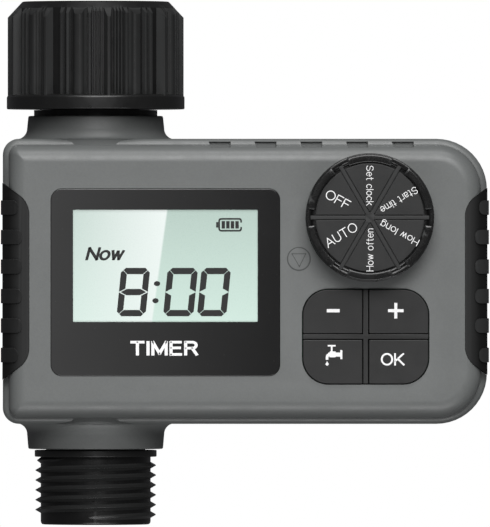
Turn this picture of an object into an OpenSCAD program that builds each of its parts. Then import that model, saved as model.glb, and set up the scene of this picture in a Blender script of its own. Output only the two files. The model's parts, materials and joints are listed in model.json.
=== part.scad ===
// Drip irrigation timer that hangs from a threaded tap and feeds a hose below it.
// The origin is the centre of the inlet washer's sealing face. +Z runs up along
// the inlet, +X runs from the water path to the dial, and the front faces -Y.
// All sizes are in millimetres.

/* [Housing] */
// Width of the housing
body_w = 108; // [106:0.5:130]
// Height of the housing
body_h = 63.6; // [62:0.1:77]
// Depth of the housing, front face to back face
body_d = 43; // [42:0.5:52]
// Distance from the water axis to the side of the housing beside it
axis_to_left = 20.6; // [20:0.1:25]
// Distance from the water axis to the front face
axis_to_front = 21; // [21:0.1:25]
// Corner radius beside the water path, seen from the front
corner_left = 3.6; // [2:0.1:4]
// Corner radius beside the dial, seen from the front
corner_right = 11.3; // [9:0.1:13]
// Thickness of the rear housing's side walls
wall = 3; // [2.8:0.1:3.6]
// Thickness of the rear housing's back wall
back_wall = 2; // [1.6:0.1:2.4]
// Depth of the front cover, face to seam
cover_d = 5; // [4.6:0.1:6]
// Thickness of the front cover's face
cover_face = 2.5; // [2.2:0.1:3]
// Thickness of the front cover's rim
cover_wall = 1.8; // [1.4:0.1:2]
// How far the front cover is set in from the rear housing's outline
rim_step = 1.4; // [1:0.1:1.6]
// Radius of the front cover's front edge
cover_edge_r = 3.8; // [2:0.1:4.2]
// Radius of the rear housing's back edge
back_edge_r = 4; // [2:0.1:4.5]

/* [Water connections] */
// Major diameter of the hose thread, over the crests
thread_d = 27; // [25:0.1:33]
// Distance from one thread turn to the next
thread_pitch = 2.209; // [1.8:0.001:2.4]
// Depth of the thread
thread_depth = 1.2; // [1:0.05:1.3]
// Number of turns of thread
thread_turns = 6; // [4:1:6]
// Radial play between the two halves of the hose thread
thread_fit = 0.15; // [0.1:0.01:0.25]
// Diameter of the inlet nut over its ribs
nut_d = 39.4; // [38:0.2:48]
// Height of the inlet nut above the washer
nut_rise = 14; // [13.8:0.1:18]
// Depth of the inlet nut below the washer's sealing face
nut_skirt = 10.1; // [9:0.1:14]
// Bore of the spigots' stems
water_bore = 14.8; // [12:0.1:15]
// Thickness of the spigots' stems around the bore
stem_wall = 2.6; // [2.4:0.1:2.8]
// Outer diameter of the housing's collars
collar_d = 30.7; // [29:0.1:36]
// Height of the collar above the housing
collar_up = 5.2; // [4:0.1:8]
// Height of the collar below the housing
collar_down = 5.7; // [4:0.1:8]
// Length of the outlet below the lower collar
outlet_len = 16.9; // [16.5:0.1:22]

/* [Display] */
// Width of the display window
window_w = 51; // [42:0.5:53]
// Height of the display window
window_h = 41.7; // [34:0.1:44]
// Distance from the housing's left side to the middle of the window
window_from_left = 36.3; // [34:0.1:38]
// Black margin of the window on either side of the display
mask_side = 4.9; // [4:0.1:6]
// Black margin of the window above the display
mask_top = 4.6; // [4:0.1:6]
// Black margin of the window below the display
mask_bottom = 12; // [8:0.1:14]

/* [Controls] */
// Diameter of the mode dial
dial_d = 28.6; // [23:0.1:29]
// How far the dial stands out from the front face
dial_rise = 6.6; // [5:0.1:9]
// Distance from the housing's dial side to the dial's axis
dial_from_right = 26.2; // [25:0.1:28]
// Distance from the housing's top to the dial's axis
dial_from_top = 17.6; // [17:0.1:19]
// Diameter of the dial's shaft
shaft_d = 6; // [5:0.1:7]
// Width of the keypad
keypad_w = 28.2; // [24:0.1:29]
// Height of the keypad
keypad_h = 21.2; // [19:0.1:22]
// Distance from the housing's dial side to the middle of the keypad
keypad_from_right = 27.1; // [26:0.1:28]
// Distance from the housing's bottom to the middle of the keypad
keypad_from_bottom = 19.5; // [18.5:0.1:20]
// Travel of each button
button_travel = 0.6; // [0.4:0.05:0.6]

/* [Power] */
// Diameter of a battery
cell_d = 14.5; // [12:0.1:14.5]
// Length of a battery with its terminal
cell_len = 50.5; // [42:0.1:50.5]
// Thickness of the battery tray's walls
tray_wall = 1; // [0.8:0.1:1.2]
// Play around the battery tray in the housing
tray_play = 0.4; // [0.3:0.05:0.5]

/* [Valve] */
// Outer diameter of the diaphragm chamber
chamber_d = 26; // [24:0.5:26]
// Bore of the valve seat
seat_bore = 10; // [8:0.5:11]
// Travel of the plunger
plunger_travel = 1.5; // [1:0.1:1.5]
// Travel of the diaphragm's centre
diaphragm_travel = 1.8; // [1.2:0.1:1.8]
// Diameter of the plunger
plunger_d = 6.5; // [5:0.1:6.5]

/* [Hidden] */
$fn = 64;

// Colours of the materials
grey = "#717675";
black = "#242526";
dark = "#3a3b3c";
rubber = "#2a2a2a";
silver = "#b8bcc0";
brass = "#c9a552";
natural = "#d8d8cf";
copper = "#b06a3a";

// Small plays between pieces
run_play = 0.08;
fit_play = 0.1;
gap = 0.3;
thin = 0.02;
edge_steps = 6;
corner_steps = 8;

// Levels down the water axis, from the inlet nut to the end of the outlet
washer_t = 2.6;
washer_bore = 16.4;
head_t = 2.4;
ring_t = 1.3;
swivel_gap = 0.2;
nut_bottom = -nut_skirt;
ring_top = nut_bottom - swivel_gap;
collar_top = ring_top - ring_t;
top = collar_top - collar_up;
bottom = top - body_h;
mid_z = (top + bottom) / 2;
collar_low = bottom - collar_down;
outlet_end = collar_low - outlet_len;

// Sides of the housing, and its inner faces
left = -axis_to_left;
right = left + body_w;
front = -axis_to_front;
back = front + body_d;
seam = front + cover_d;
cover_back = front + cover_face;
inner_back = back - back_wall;

// Hose thread
thread_r = thread_d / 2;
root_r = thread_r - thread_depth;
crest_flat = 0.3;
crest_base = 1.5;
nut_crest_r = root_r + thread_fit;
nut_root_r = thread_r + thread_fit;
nut_cavity_r = nut_crest_r + 0.35;
washer_r = nut_crest_r - 0.05;
first_crest = 0.45;

// Spigots
bore_r = water_bore / 2;
stem_r = bore_r + stem_wall;
ring_r = thread_r + 0.3;
filter_seat_r = 9.2;
filter_seat_d = 1.1;
clip_t = 1.5;
clip_depth = 1;
clip_r = stem_r + 2.6;
oring_t = 1.7;
oring_groove = 2.4;
oring_floor = stem_r + fit_play - oring_t;
socket_len = 8.5;
socket_r = stem_r + 2;
clip_gap = 0.05;
inlet_clip_top = top - wall - clip_gap;
outlet_clip_bottom = bottom + wall + clip_gap;
inlet_socket_top = inlet_clip_top - clip_t - 0.6;
outlet_socket_bottom = outlet_clip_bottom + clip_t + 0.6;
inlet_stem_end = inlet_socket_top - socket_len + 0.5;
outlet_stem_end = outlet_socket_bottom + socket_len - 0.5;
inlet_oring_z = inlet_socket_top - 4;
outlet_oring_z = outlet_socket_bottom + 4;
outlet_ring_top = collar_low - 0.25;
outlet_ring_low = outlet_ring_top - 1.5;
outlet_bore_r = stem_r - 1;
collar_r = collar_d / 2;
collar_draft = 0.2;
collar_fillet = 2.4;
collar_root = wall - 0.4;

// Grips
grip_t = 1.2;
grip_proud = 0.25;
rib_proud = 0.5;
grip_edge_r = 5.2;
grip_half = 21.9;
grip_reach_left = 5.9;
grip_reach_right = 4.9;
grip_slope = 0.75;
grip_round = 3;
rib_count = 6;
rib_pitch = 6.58;
rib_h = 3.2;
rib_reach_left = 4.3;
rib_reach_right = 2.7;
rib_end_step = 0.9;

// Screws that hold the housing together
boss_r = 3.4;
well_r = 2.6;
screw_head_r = 2.4;
screw_head_t = 1.8;
screw_r = 1.4;
screw_hole_r = 1.6;
boss_floor = front + 15;
boss_left_x = left + 4.8;
boss_mid_x = left + 50.6;
boss_right_x = right - 8.8;
boss_low_z = bottom + 5.8;
boss_high_z = top - 5.8;
boss_right_in = 3;
SCREW_PLACES = [
    [boss_left_x, boss_high_z], [boss_left_x, boss_low_z],
    [boss_mid_x, boss_high_z], [boss_mid_x, boss_low_z],
    [boss_right_x, boss_high_z - boss_right_in], [boss_right_x, boss_low_z + boss_right_in]
];

// Slots along the top of the seam
slot_count = 5;
slot_w = 4.9;
slot_h = 1.1;
slot_pitch = 10.2;
slot_first = 27.8;

// Display
window_t = 1.45;
window_x = left + window_from_left;
window_corner = 2.5;
lcd_view_w = window_w - 2 * mask_side;
lcd_view_h = window_h - mask_top - mask_bottom;
lcd_x = window_x;
lcd_z = mid_z + window_h / 2 - mask_top - lcd_view_h / 2;
lcd_border = 2.3;
lcd_t = 2.2;
lcd_w = lcd_view_w + 2 * lcd_border;
lcd_h = lcd_view_h + 2 * lcd_border;
holder_wall = 0.9;

// Circuit board
pcb_front = front + 5.8;
pcb_t = 1.6;
pcb_back = pcb_front + pcb_t;
pcb_x0 = left + 7.6;
pcb_x1 = right - 13;
pcb_z0 = bottom + 9.9;
pcb_z1 = top - 10.7;
post_r = 2;
post_left_x = lcd_x - lcd_w / 2 - holder_wall - post_r - 0.1;
post_right_x = lcd_x + lcd_w / 2 + holder_wall + post_r + 1;
POST_PLACES = [
    [post_left_x, pcb_z1 - 2.4], [post_left_x, pcb_z0 + 2.4],
    [post_right_x, pcb_z1 - 2.4], [post_right_x, pcb_z0 + 2.4]
];
connector_x = window_x + window_w / 2 + 7;
connector_size = 6;
connector_h = 5;

// Keypad
keypad_x = right - keypad_from_right;
keypad_z = bottom + keypad_from_bottom;
keypad_corner = 5.8;
frame_rim = 0.5;
cross_w = 1.1;
key_play = 0.15;
key_proud = 0.5;
key_flange = front + 1.4;
key_back = front + 2.1;
membrane_front = front + 2.8;
membrane_back = front + 3.4;
switch_size = 6;

// Dial
dial_x = right - dial_from_right;
dial_z = top - dial_from_top;
dial_r = dial_d / 2;
dial_front = front - dial_rise;
dial_back = front - gap;
face_r = dial_r - 1.8;
shaft_r = shaft_d / 2;
shaft_tip = dial_front + 1.6;
switch_front = front + 2.7;
rotor_front = switch_front + 0.8;
rotor_back = pcb_front - 0.8;
rotor_r = shaft_r + 2.6;
detents = 6;
click_r = 0.8;

// Valve and solenoid, along +X from the water axis
seat_x = 10;
diaphragm_t = 1.2;
bonnet_x = seat_x + diaphragm_t;
bonnet_depth = 6;
cavity_depth = 4;
chamber_r = chamber_d / 2;
clamp_r = chamber_r - 0.6;
cavity_r = chamber_r - 3;
seat_r = seat_bore / 2;
seat_wall = 1.8;
passage_r = 4.5;
passage_x = -5.5;
lug_at = (chamber_r + 1) * sqrt(0.5);
lug_r = 3;
bonnet_back = bonnet_x + bonnet_depth;
tube_r = plunger_d / 2 + 0.05;
tube_wall = 0.7;
nozzle_h = 0.8;
seal_t = 1;
plunger_x = bonnet_back + nozzle_h + seal_t;
plunger_len = 12;
core_x = plunger_x + plunger_len + plunger_travel + 0.1;
core_len = 8.9;
tube_end = core_x + core_len;
screw_cap_t = 1.4;
yoke_x = bonnet_back + screw_cap_t + 0.1;
yoke_t = 1.2;
coil_r = 7;
coil_x0 = yoke_x + yoke_t + 0.1;
coil_x1 = tube_end - 2.2;
yoke_end = coil_x1 + 0.1 + yoke_t;
bobbin_r = tube_r + tube_wall + 0.1;
magnet_t = 3;

// Battery tray
cell_r = cell_d / 2;
cell_play = 0.15;
contact_t = 0.4;
spring_len = 2.5;
tray_face_t = 1.8;
tray_x1 = right - grip_t;
tray_inner = tray_x1 - tray_face_t;
tray_pocket_x0 = tray_inner - contact_t - cell_len - spring_len - contact_t;
tray_end_t = 1.2;
tray_x0 = tray_pocket_x0 - tray_end_t;
tray_y1 = inner_back - tray_play;
cell_y = tray_y1 - tray_wall - cell_play - cell_r;
tray_y0 = cell_y - cell_r - 0.65;
pocket_h = cell_d + 2 * cell_play;
tray_h = 2 * pocket_h + 3 * tray_wall;
cell_up = (pocket_h + tray_wall) / 2;
coil_flange_r = coil_r + 0.4;
coil_gap = 0.9;
solenoid_y = tray_y0 - coil_gap - coil_flange_r;
block_x1 = tray_x0 - 2.2;
block_x0 = block_x1 - 3.7;

// ---- Shared shapes ----

// Points along an arc, angles in degrees
function arc_points(x, z, r, from, to) = [
    for (i = [0:corner_steps])
        let (a = from + (to - from) * i / corner_steps)
        [x + r * cos(a), z + r * sin(a)]
];

// Rectangle whose left and right corners have their own radii
function round_box(x0, z0, x1, z1, rl, rr) = concat(
    arc_points(x1 - rr, z1 - rr, rr, 0, 90),
    arc_points(x0 + rl, z1 - rl, rl, 90, 180),
    arc_points(x0 + rl, z0 + rl, rl, 180, 270),
    arc_points(x1 - rr, z0 + rr, rr, 270, 360)
);

// Outline of the housing seen from the front, moved inwards by inset
module outline(inset) {
    polygon(round_box(
        left + inset, bottom + inset, right - inset, top - inset,
        max(corner_left - inset, 0.4), max(corner_right - inset, 0.4)
    ));
}

// A centred rounded rectangle
module panel(w, h, r) {
    polygon(round_box(-w / 2, -h / 2, w / 2, h / 2, r, r));
}

// Extrudes a front-view shape from y0 back to y1
module slab(y0, y1) {
    translate([0, y1, 0]) rotate([90, 0, 0]) linear_extrude(height = y1 - y0) children();
}

// Block between two opposite corners
module block(low, high) {
    translate(low) cube(high - low);
}

module rod_x(x0, x1, r) {
    translate([x0, 0, 0]) rotate([0, 90, 0]) cylinder(r = r, h = x1 - x0);
}

module rod_y(y0, y1, r) {
    translate([0, y0, 0]) rotate([-90, 0, 0]) cylinder(r = r, h = y1 - y0);
}

module rod_z(z0, z1, r) {
    translate([0, 0, z0]) cylinder(r = r, h = z1 - z0);
}

// Turns a shape made along Z so that it lies along X
module along_x() {
    rotate([0, 90, 0]) children();
}

// The housing's shape with rounded front and back edges, as one convex form
module body_form(y0, y1, r0, r1, inset) {
    hull() {
        slab(y0 + r0, y1 - r1) outline(inset);
        for (i = [1:edge_steps]) {
            s = 1 - sin(90 * i / edge_steps);
            c = 1 - cos(90 * i / edge_steps);
            slab(y0 + r0 * s, y0 + r0 * s + thin) outline(inset + r0 * c);
            slab(y1 - r1 * s - thin, y1 - r1 * s) outline(inset + r1 * c);
        }
    }
}

// The surface that both grips follow, moved inwards by depth
module grip_form(depth) {
    body_form(front + depth, back - depth, grip_edge_r - depth, back_edge_r + 1 - depth, depth);
}

// Half profile of one thread turn after another, going up from z0
function thread_points(r_valley, r_crest, z0) = [
    for (i = [0:thread_turns - 1], k = [0:3])
        let (z = z0 + i * thread_pitch)
        [(k == 1 || k == 2) ? r_crest : r_valley, z + [-crest_base, -crest_flat, crest_flat, crest_base][k] / 2]
];

// A closed tube through rings of points
module tube_solid(points, rings, sides) {
    walls = [
        for (i = [0:rings - 1], k = [0:sides - 1])
            let (n = (k + 1) % sides)
            [i * sides + k, (i + 1) * sides + k, (i + 1) * sides + n, i * sides + n]
    ];
    start = [for (k = [0:sides - 1]) k];
    end = [for (k = [0:sides - 1]) rings * sides + sides - 1 - k];
    polyhedron(points = points, faces = concat([start], walls, [end]), convexity = 10);
}

// A coil spring along Z with its centre line on a cylinder
module spring(r, wire, length, turns) {
    sides = 6;
    steps = 14;
    rings = turns * steps;
    rise = length - wire;
    points = [
        for (i = [0:rings], k = [0:sides - 1])
            let (a = 360 * i / steps, b = 360 * k / sides)
            [
                (r + wire / 2 * cos(b)) * cos(a),
                (r + wire / 2 * cos(b)) * sin(a),
                wire / 2 + rise * i / rings + wire / 2 * sin(b)
            ]
    ];
    tube_solid(points, rings, sides);
}

// Direction of a vector
function unit(v) = v / norm(v);

// A round wire from a to d that leaves towards b and arrives from c, as a cubic curve.
// No stretch of it may run along the diagonal between Y and Z.
module wire(a, b, c, d, r) {
    sides = 8;
    rings = 16;
    points = [
        for (i = [0:rings])
            let (
                t = i / rings,
                s = 1 - t,
                place = s * s * s * a + 3 * s * s * t * b + 3 * s * t * t * c + t * t * t * d,
                along = unit(s * s * (b - a) + 2 * s * t * (c - b) + t * t * (d - c)),
                u = unit(cross(along, [0, 1, 1])),
                v = cross(u, along)
            )
            for (k = [0:sides - 1])
                let (turn = 360 * k / sides)
                place + r * cos(turn) * u + r * sin(turn) * v
    ];
    tube_solid(points, rings, sides);
}

// ---- Inlet ----

nut_ribs = 24;
nut_rib_d = 1.7;
nut_flange_h = 3.1;
nut_chamfer = 3.6;
nut_r = nut_d / 2;

// Ribbed plan of the inlet nut
function nut_plan() = [
    for (i = [0:nut_ribs - 1], k = [0:3])
        let (a = 360 * (i + [-0.36, -0.22, 0.22, 0.36][k]) / nut_ribs, r = nut_r - ((k == 0 || k == 3) ? nut_rib_d : 0))
        [r * cos(a), r * sin(a)]
];

module inlet_nut() {
    entry = nut_rise - 1.4;
    color(black) difference() {
        union() {
            intersection() {
                translate([0, 0, nut_bottom + 1]) linear_extrude(height = nut_rise - nut_bottom - 1) polygon(nut_plan());
                rotate_extrude() polygon([
                    [0, nut_bottom], [nut_r + 1, nut_bottom], [nut_r + 1, nut_rise - nut_chamfer - 1],
                    [nut_r - nut_chamfer, nut_rise], [0, nut_rise]
                ]);
            }
            rod_z(nut_bottom, nut_bottom + nut_flange_h, nut_r + 0.2);
            rod_z(nut_bottom, nut_rise - 5, nut_r - nut_rib_d - 0.1);
        }
        rotate_extrude() polygon(concat(
            [[0, nut_bottom - 1], [stem_r + run_play, nut_bottom - 1]],
            [[stem_r + run_play, -washer_t - head_t - 0.1], [nut_cavity_r, -washer_t - head_t - 0.1]],
            [[nut_cavity_r, -0.6], [nut_root_r, -0.6]],
            thread_points(nut_root_r, nut_crest_r, first_crest),
            [[nut_root_r, entry], [nut_root_r + 0.6, nut_rise + 1], [0, nut_rise + 1]]
        ));
    }
}

module inlet_washer() {
    color(rubber) difference() {
        rod_z(-washer_t, 0, washer_r);
        rod_z(-washer_t - 1, 1, washer_bore / 2);
    }
}

module inlet_filter() {
    filter_len = 13;
    filter_wall = 0.8;
    filter_top = -washer_t;
    filter_low = filter_top - 1 - filter_len;
    mouth_r = bore_r - 0.4;
    tip_r = 4.6;
    color(natural) difference() {
        union() {
            rod_z(filter_top - 1, filter_top, filter_seat_r - fit_play);
            translate([0, 0, filter_low]) cylinder(r1 = tip_r, r2 = mouth_r, h = filter_len);
        }
        translate([0, 0, filter_low + 1]) cylinder(r1 = tip_r - filter_wall, r2 = mouth_r - filter_wall, h = filter_len + 1);
        for (i = [0:3]) {
            rotate([0, 0, 45 * i]) block([-10, -0.9, filter_low + 2.5], [10, 0.9, filter_top - 3]);
        }
    }
}

module inlet_spigot() {
    head_low = -washer_t - head_t;
    seat_low = -washer_t - filter_seat_d;
    color(black) rotate_extrude() polygon([
        [bore_r, inlet_stem_end], [stem_r, inlet_stem_end],
        [stem_r, inlet_oring_z - oring_groove / 2], [oring_floor, inlet_oring_z - oring_groove / 2],
        [oring_floor, inlet_oring_z + oring_groove / 2], [stem_r, inlet_oring_z + oring_groove / 2],
        [stem_r, inlet_clip_top - clip_t - clip_gap], [stem_r - clip_depth, inlet_clip_top - clip_t - clip_gap],
        [stem_r - clip_depth, inlet_clip_top + clip_gap], [stem_r, inlet_clip_top + clip_gap],
        [stem_r, collar_top], [ring_r, collar_top], [ring_r, ring_top], [stem_r, ring_top],
        [stem_r, head_low], [washer_r, head_low], [washer_r, -washer_t], [filter_seat_r, -washer_t],
        [filter_seat_r, seat_low], [bore_r, seat_low]
    ]);
}

// Open ring that locks a spigot behind the housing's wall
module spigot_clip(z) {
    difference() {
        rod_z(z, z + clip_t, clip_r);
        rod_z(z - 1, z + clip_t + 1, stem_r - clip_depth + 0.05);
        block([0, -stem_r * 0.6, z - 1], [clip_r + 1, stem_r * 0.6, z + clip_t + 1]);
    }
}

module spigot_clips() {
    color(silver) {
        spigot_clip(inlet_clip_top - clip_t);
        spigot_clip(outlet_clip_bottom);
    }
}

module spigot_orings() {
    centre_r = oring_floor + oring_t / 2;
    color(rubber) for (z = [inlet_oring_z, outlet_oring_z]) {
        translate([0, 0, z]) rotate_extrude() translate([centre_r, 0]) circle(r = oring_t / 2, $fn = 24);
    }
}

// ---- Housing ----

// Collar around a spigot with a fillet onto the housing, as a solid of revolution
module collar(base, tip) {
    rise = tip > base ? 1 : -1;
    foot = rise * collar_fillet;
    steps = 6;
    fillet = [
        for (i = [0:steps])
            let (a = 90 * i / steps)
            [collar_r + collar_fillet * (1 - cos(a)), base + foot * (1 - sin(a))]
    ];
    rotate_extrude() polygon(concat(
        [[0, base - rise * collar_root], [0, tip], [collar_r - collar_draft - 0.3, tip], [collar_r - collar_draft, tip - rise * 0.3]],
        fillet,
        [[collar_r + collar_fillet, base - rise * collar_root]]
    ));
}

// Front-view shape of a grip, grown by play on all sides
module grip_shape(side, play) {
    edge = side < 0 ? left : right;
    reach = side < 0 ? grip_reach_left : grip_reach_right;
    half = side < 0 ? grip_half : grip_half - 1.1;
    corner_z = half - reach * grip_slope;
    intersection() {
        offset(r = grip_round + play) offset(delta = -grip_round) polygon([
            [edge - side * reach, mid_z + corner_z], [edge - side * reach, mid_z - corner_z],
            [edge + side * 4, mid_z - half - 4 * grip_slope], [edge + side * 4, mid_z + half + 4 * grip_slope]
        ]);
        translate([edge - 8, bottom]) square([16, body_h]);
    }
}

// What a grip's pocket takes away from the housing
module grip_pocket(side, play) {
    difference() {
        slab(front - 1, back + 1) grip_shape(side, play);
        grip_form(grip_t + play);
    }
}

module grip_ribs(side) {
    edge = side < 0 ? left : right;
    reach = side < 0 ? rib_reach_left : rib_reach_right;
    for (i = [0:rib_count - 1]) {
        z = mid_z + (i - (rib_count - 1) / 2) * rib_pitch;
        short = (i == 0 || i == rib_count - 1) ? rib_end_step : 0;
        inner = edge - side * (reach - short);
        block(
            [min(inner, edge + side * 2), front - 1, z - rib_h / 2],
            [max(inner, edge + side * 2), back + 1, z + rib_h / 2]
        );
    }
}

module grip(side) {
    color(rubber) difference() {
        union() {
            intersection() {
                grip_form(-grip_proud);
                slab(front - 1, back + 1) grip_shape(side, 0);
            }
            intersection() {
                grip_form(-rib_proud);
                grip_ribs(side);
            }
        }
        grip_form(grip_t);
    }
}

module grip_left() {
    grip(-1);
}

module grip_right() {
    grip(1);
}

// Snap slots along the top of the seam
module top_slots() {
    for (i = [0:slot_count - 1]) {
        x = slot_first + i * slot_pitch;
        block(
            [x - slot_w / 2, seam - 1.6, top - 0.7 - slot_h],
            [x + slot_w / 2, seam + 1.5, top - 0.7]
        );
    }
}

module rear_housing() {
    collar_bore = stem_r + fit_play;
    color(grey) difference() {
        union() {
            difference() {
                body_form(seam, back, rim_step, back_edge_r, 0);
                slab(seam - 1, inner_back) outline(wall);
            }
            difference() {
                union() {
                    collar(top, collar_top);
                    collar(bottom, collar_low);
                }
                slab(front - 5, seam) outline(-10);
            }
            intersection() {
                slab(seam, back - 1) outline(wall / 2);
                for (p = SCREW_PLACES) {
                    translate([p[0], 0, p[1]]) rod_y(seam, back, boss_r);
                }
            }
            block([block_x0, cell_y - 4, mid_z - 13], [block_x1, back - 1, mid_z + 13]);
            for (s = [-1, 1]) {
                z = mid_z + s * (tray_h / 2 + gap + 0.6);
                block([tray_x0, tray_y0 + 4, z - 0.6], [right - 1.6, back - 1, z + 0.6]);
            }
        }
        rod_z(outlet_end, 0, collar_bore);
        for (p = SCREW_PLACES) {
            translate([p[0], 0, p[1]]) {
                rod_y(seam - 1, back, screw_hole_r);
                rod_y(boss_floor, back + 1, well_r);
            }
        }
        block(
            [right - wall - 1, tray_y0 - tray_play, mid_z - tray_h / 2 - tray_play],
            [right + 1, inner_back, mid_z + tray_h / 2 + tray_play]
        );
        slab(seam - 1, seam + 0.8) difference() {
            outline(rim_step + 0.5);
            outline(rim_step + 1.1);
        }
        top_slots();
        grip_pocket(-1, 0);
        grip_pocket(1, gap);
    }
}

module front_cover() {
    color(grey) difference() {
        union() {
            difference() {
                body_form(front, seam, cover_edge_r, 0, rim_step);
                slab(cover_back, seam + 1) outline(rim_step + cover_wall);
            }
            intersection() {
                slab(cover_back - 1, seam) outline(rim_step + 0.5);
                for (p = SCREW_PLACES) {
                    translate([p[0], 0, p[1]]) rod_y(cover_back - 1, seam, boss_r);
                }
            }
            for (p = POST_PLACES) {
                translate([p[0], 0, p[1]]) rod_y(cover_back - 1, pcb_front, post_r);
            }
        }
        slab(front - 1, front + window_t + 0.05) translate([window_x, mid_z]) {
            panel(window_w + 2 * fit_play, window_h + 2 * fit_play, window_corner + fit_play);
        }
        slab(front - 1, cover_back + 1) translate([lcd_x, lcd_z]) panel(lcd_view_w + 2, lcd_view_h + 2, 1);
        slab(front - 1, cover_back + 1) translate([keypad_x, keypad_z]) {
            panel(keypad_w + 2 * fit_play, keypad_h + 2 * fit_play, keypad_corner + fit_play);
        }
        translate([dial_x, 0, dial_z]) {
            rod_y(front - 1, cover_back + 1, shaft_r + run_play);
            rod_y(cover_back - 1.8, cover_back + 1, shaft_r + 1.6);
        }
        for (p = SCREW_PLACES) {
            translate([p[0], 0, p[1]]) rod_y(front + 1.2, seam + 1, screw_r + 0.05);
        }
        for (p = POST_PLACES) {
            translate([p[0], 0, p[1]]) rod_y(front + 1.2, pcb_front + 1, 0.95);
        }
        top_slots();
        grip_pocket(-1, 0);
        grip_pocket(1, gap);
    }
}

module housing_seal() {
    color(rubber) slab(seam, seam + 0.8) difference() {
        outline(rim_step + 0.5);
        outline(rim_step + 1.1);
    }
}

module housing_screws() {
    color(silver) for (p = SCREW_PLACES) {
        translate([p[0], 0, p[1]]) difference() {
            union() {
                rod_y(front + 1.6, boss_floor, screw_r);
                rod_y(boss_floor, boss_floor + screw_head_t, screw_head_r);
            }
            for (a = [0, 90]) {
                rotate([0, a, 0]) block([-1.3, boss_floor + 0.8, -0.3], [1.3, boss_floor + 3, 0.3]);
            }
        }
    }
}

// ---- Display ----

module display_window() {
    color(black) slab(front + 0.05, front + window_t) translate([window_x, mid_z]) {
        panel(window_w, window_h, window_corner);
    }
}

module lcd_glass() {
    color("#b9cdc3") slab(cover_back + 0.1, cover_back + 0.1 + lcd_t) translate([lcd_x, lcd_z]) square([lcd_w, lcd_h], center = true);
}

module lcd_holder() {
    color(natural) slab(cover_back, pcb_front) translate([lcd_x, lcd_z]) difference() {
        square([lcd_w + 2 * holder_wall, lcd_h + 2 * holder_wall], center = true);
        square([lcd_w + 0.2, lcd_h + 0.2], center = true);
    }
}

module lcd_connectors() {
    color("#5a4a52") slab(cover_back + 0.1 + lcd_t, pcb_front) for (s = [-1, 1]) {
        translate([lcd_x, lcd_z + s * (lcd_h / 2 - 1.2)]) square([lcd_w - 4, 1.6], center = true);
    }
}

// ---- Electronics ----

module main_pcb() {
    color("#1f6b3a") difference() {
        block([pcb_x0, pcb_front, pcb_z0], [pcb_x1, pcb_back, pcb_z1]);
        for (p = POST_PLACES) {
            translate([p[0], 0, p[1]]) rod_y(pcb_front - 1, pcb_back + 1, 1.1);
        }
    }
}

module pcb_components() {
    chip = 8;
    capacitor_r = 3.2;
    color(dark) {
        for (s = [-1, 1]) {
            translate([connector_x, pcb_back, mid_z + s * 11.8]) difference() {
                block([-connector_size / 2, 0, -2.5], [connector_size / 2, connector_h, 2.5]);
                block([-connector_size / 2 + 0.8, 1.5, -1.7], [connector_size / 2 - 0.8, connector_h + 1, 1.7]);
            }
        }
        translate([keypad_x, pcb_back, mid_z]) block([-chip / 2, 0, -chip / 2], [chip / 2, 1.4, chip / 2]);
        translate([keypad_x + 8, 0, mid_z + 12]) rod_y(pcb_back, pcb_back + 8.5, capacitor_r);
        translate([keypad_x - 3, pcb_back, mid_z + 12]) block([-1.6, 0, -5], [1.6, 3.4, 5]);
    }
}

module pcb_screws() {
    color(silver) for (p = POST_PLACES) {
        translate([p[0], 0, p[1]]) {
            rod_y(front + 1.6, pcb_back, 0.9);
            rod_y(pcb_back, pcb_back + 1.3, 1.8);
        }
    }
}

// Places of the four keys: minus, plus, manual, confirm
KEY_SIDES = [[-1, 1], [1, 1], [-1, -1], [1, -1]];

module tact_switches() {
    color(dark) for (k = KEY_SIDES) {
        translate([keypad_x + k[0] * keypad_w / 4, 0, keypad_z + k[1] * keypad_h / 4]) {
            slab(pcb_front - 1.6, pcb_front) square(switch_size, center = true);
            rod_y(membrane_back + 0.5, pcb_front - 1.6, 1.7);
        }
    }
}

// ---- Keypad ----

// Front-view shape of one key, inset from the frame and standing off the cross
module key_shape(side, inset, off_cross) {
    translate([keypad_x, keypad_z]) intersection() {
        panel(keypad_w - 2 * inset, keypad_h - 2 * inset, keypad_corner - inset);
        translate([side[0] > 0 ? off_cross : -keypad_w, side[1] > 0 ? off_cross : -keypad_h]) {
            square([keypad_w - off_cross, keypad_h - off_cross]);
        }
    }
}

module keypad_frame() {
    color(black) {
        difference() {
            slab(front, key_flange - 0.1) translate([keypad_x, keypad_z]) panel(keypad_w, keypad_h, keypad_corner);
            for (k = KEY_SIDES) {
                slab(front - 1, key_flange) key_shape(k, frame_rim, cross_w / 2);
            }
        }
        slab(key_flange - 0.1, cover_back + 0.5) translate([keypad_x, keypad_z]) difference() {
            panel(keypad_w, keypad_h, keypad_corner);
            panel(keypad_w - 2 * frame_rim, keypad_h - 2 * frame_rim, keypad_corner - frame_rim);
        }
        slab(cover_back, cover_back + 0.5) translate([keypad_x, keypad_z]) difference() {
            panel(keypad_w + 3, keypad_h + 3, keypad_corner + 1.5);
            panel(keypad_w - 2 * frame_rim, keypad_h - 2 * frame_rim, keypad_corner - frame_rim);
        }
    }
}

module keypad_membrane() {
    inset = frame_rim + key_play;
    color("#4c4e50") {
        slab(membrane_front, membrane_back) translate([keypad_x, keypad_z]) {
            panel(keypad_w - 2 * inset, keypad_h - 2 * inset, keypad_corner - inset);
        }
        for (k = KEY_SIDES) {
            translate([keypad_x + k[0] * keypad_w / 4, 0, keypad_z + k[1] * keypad_h / 4]) {
                rod_y(membrane_back - 0.1, membrane_back + 0.4, 1.5);
            }
        }
    }
}

module key(side) {
    color(dark) {
        slab(front - key_proud, key_flange) key_shape(side, frame_rim + key_play, cross_w / 2 + key_play);
        slab(key_flange, key_back) key_shape(side, frame_rim + key_play, 0.2);
    }
}

module button_minus() {
    key(KEY_SIDES[0]);
}

module button_plus() {
    key(KEY_SIDES[1]);
}

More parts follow.
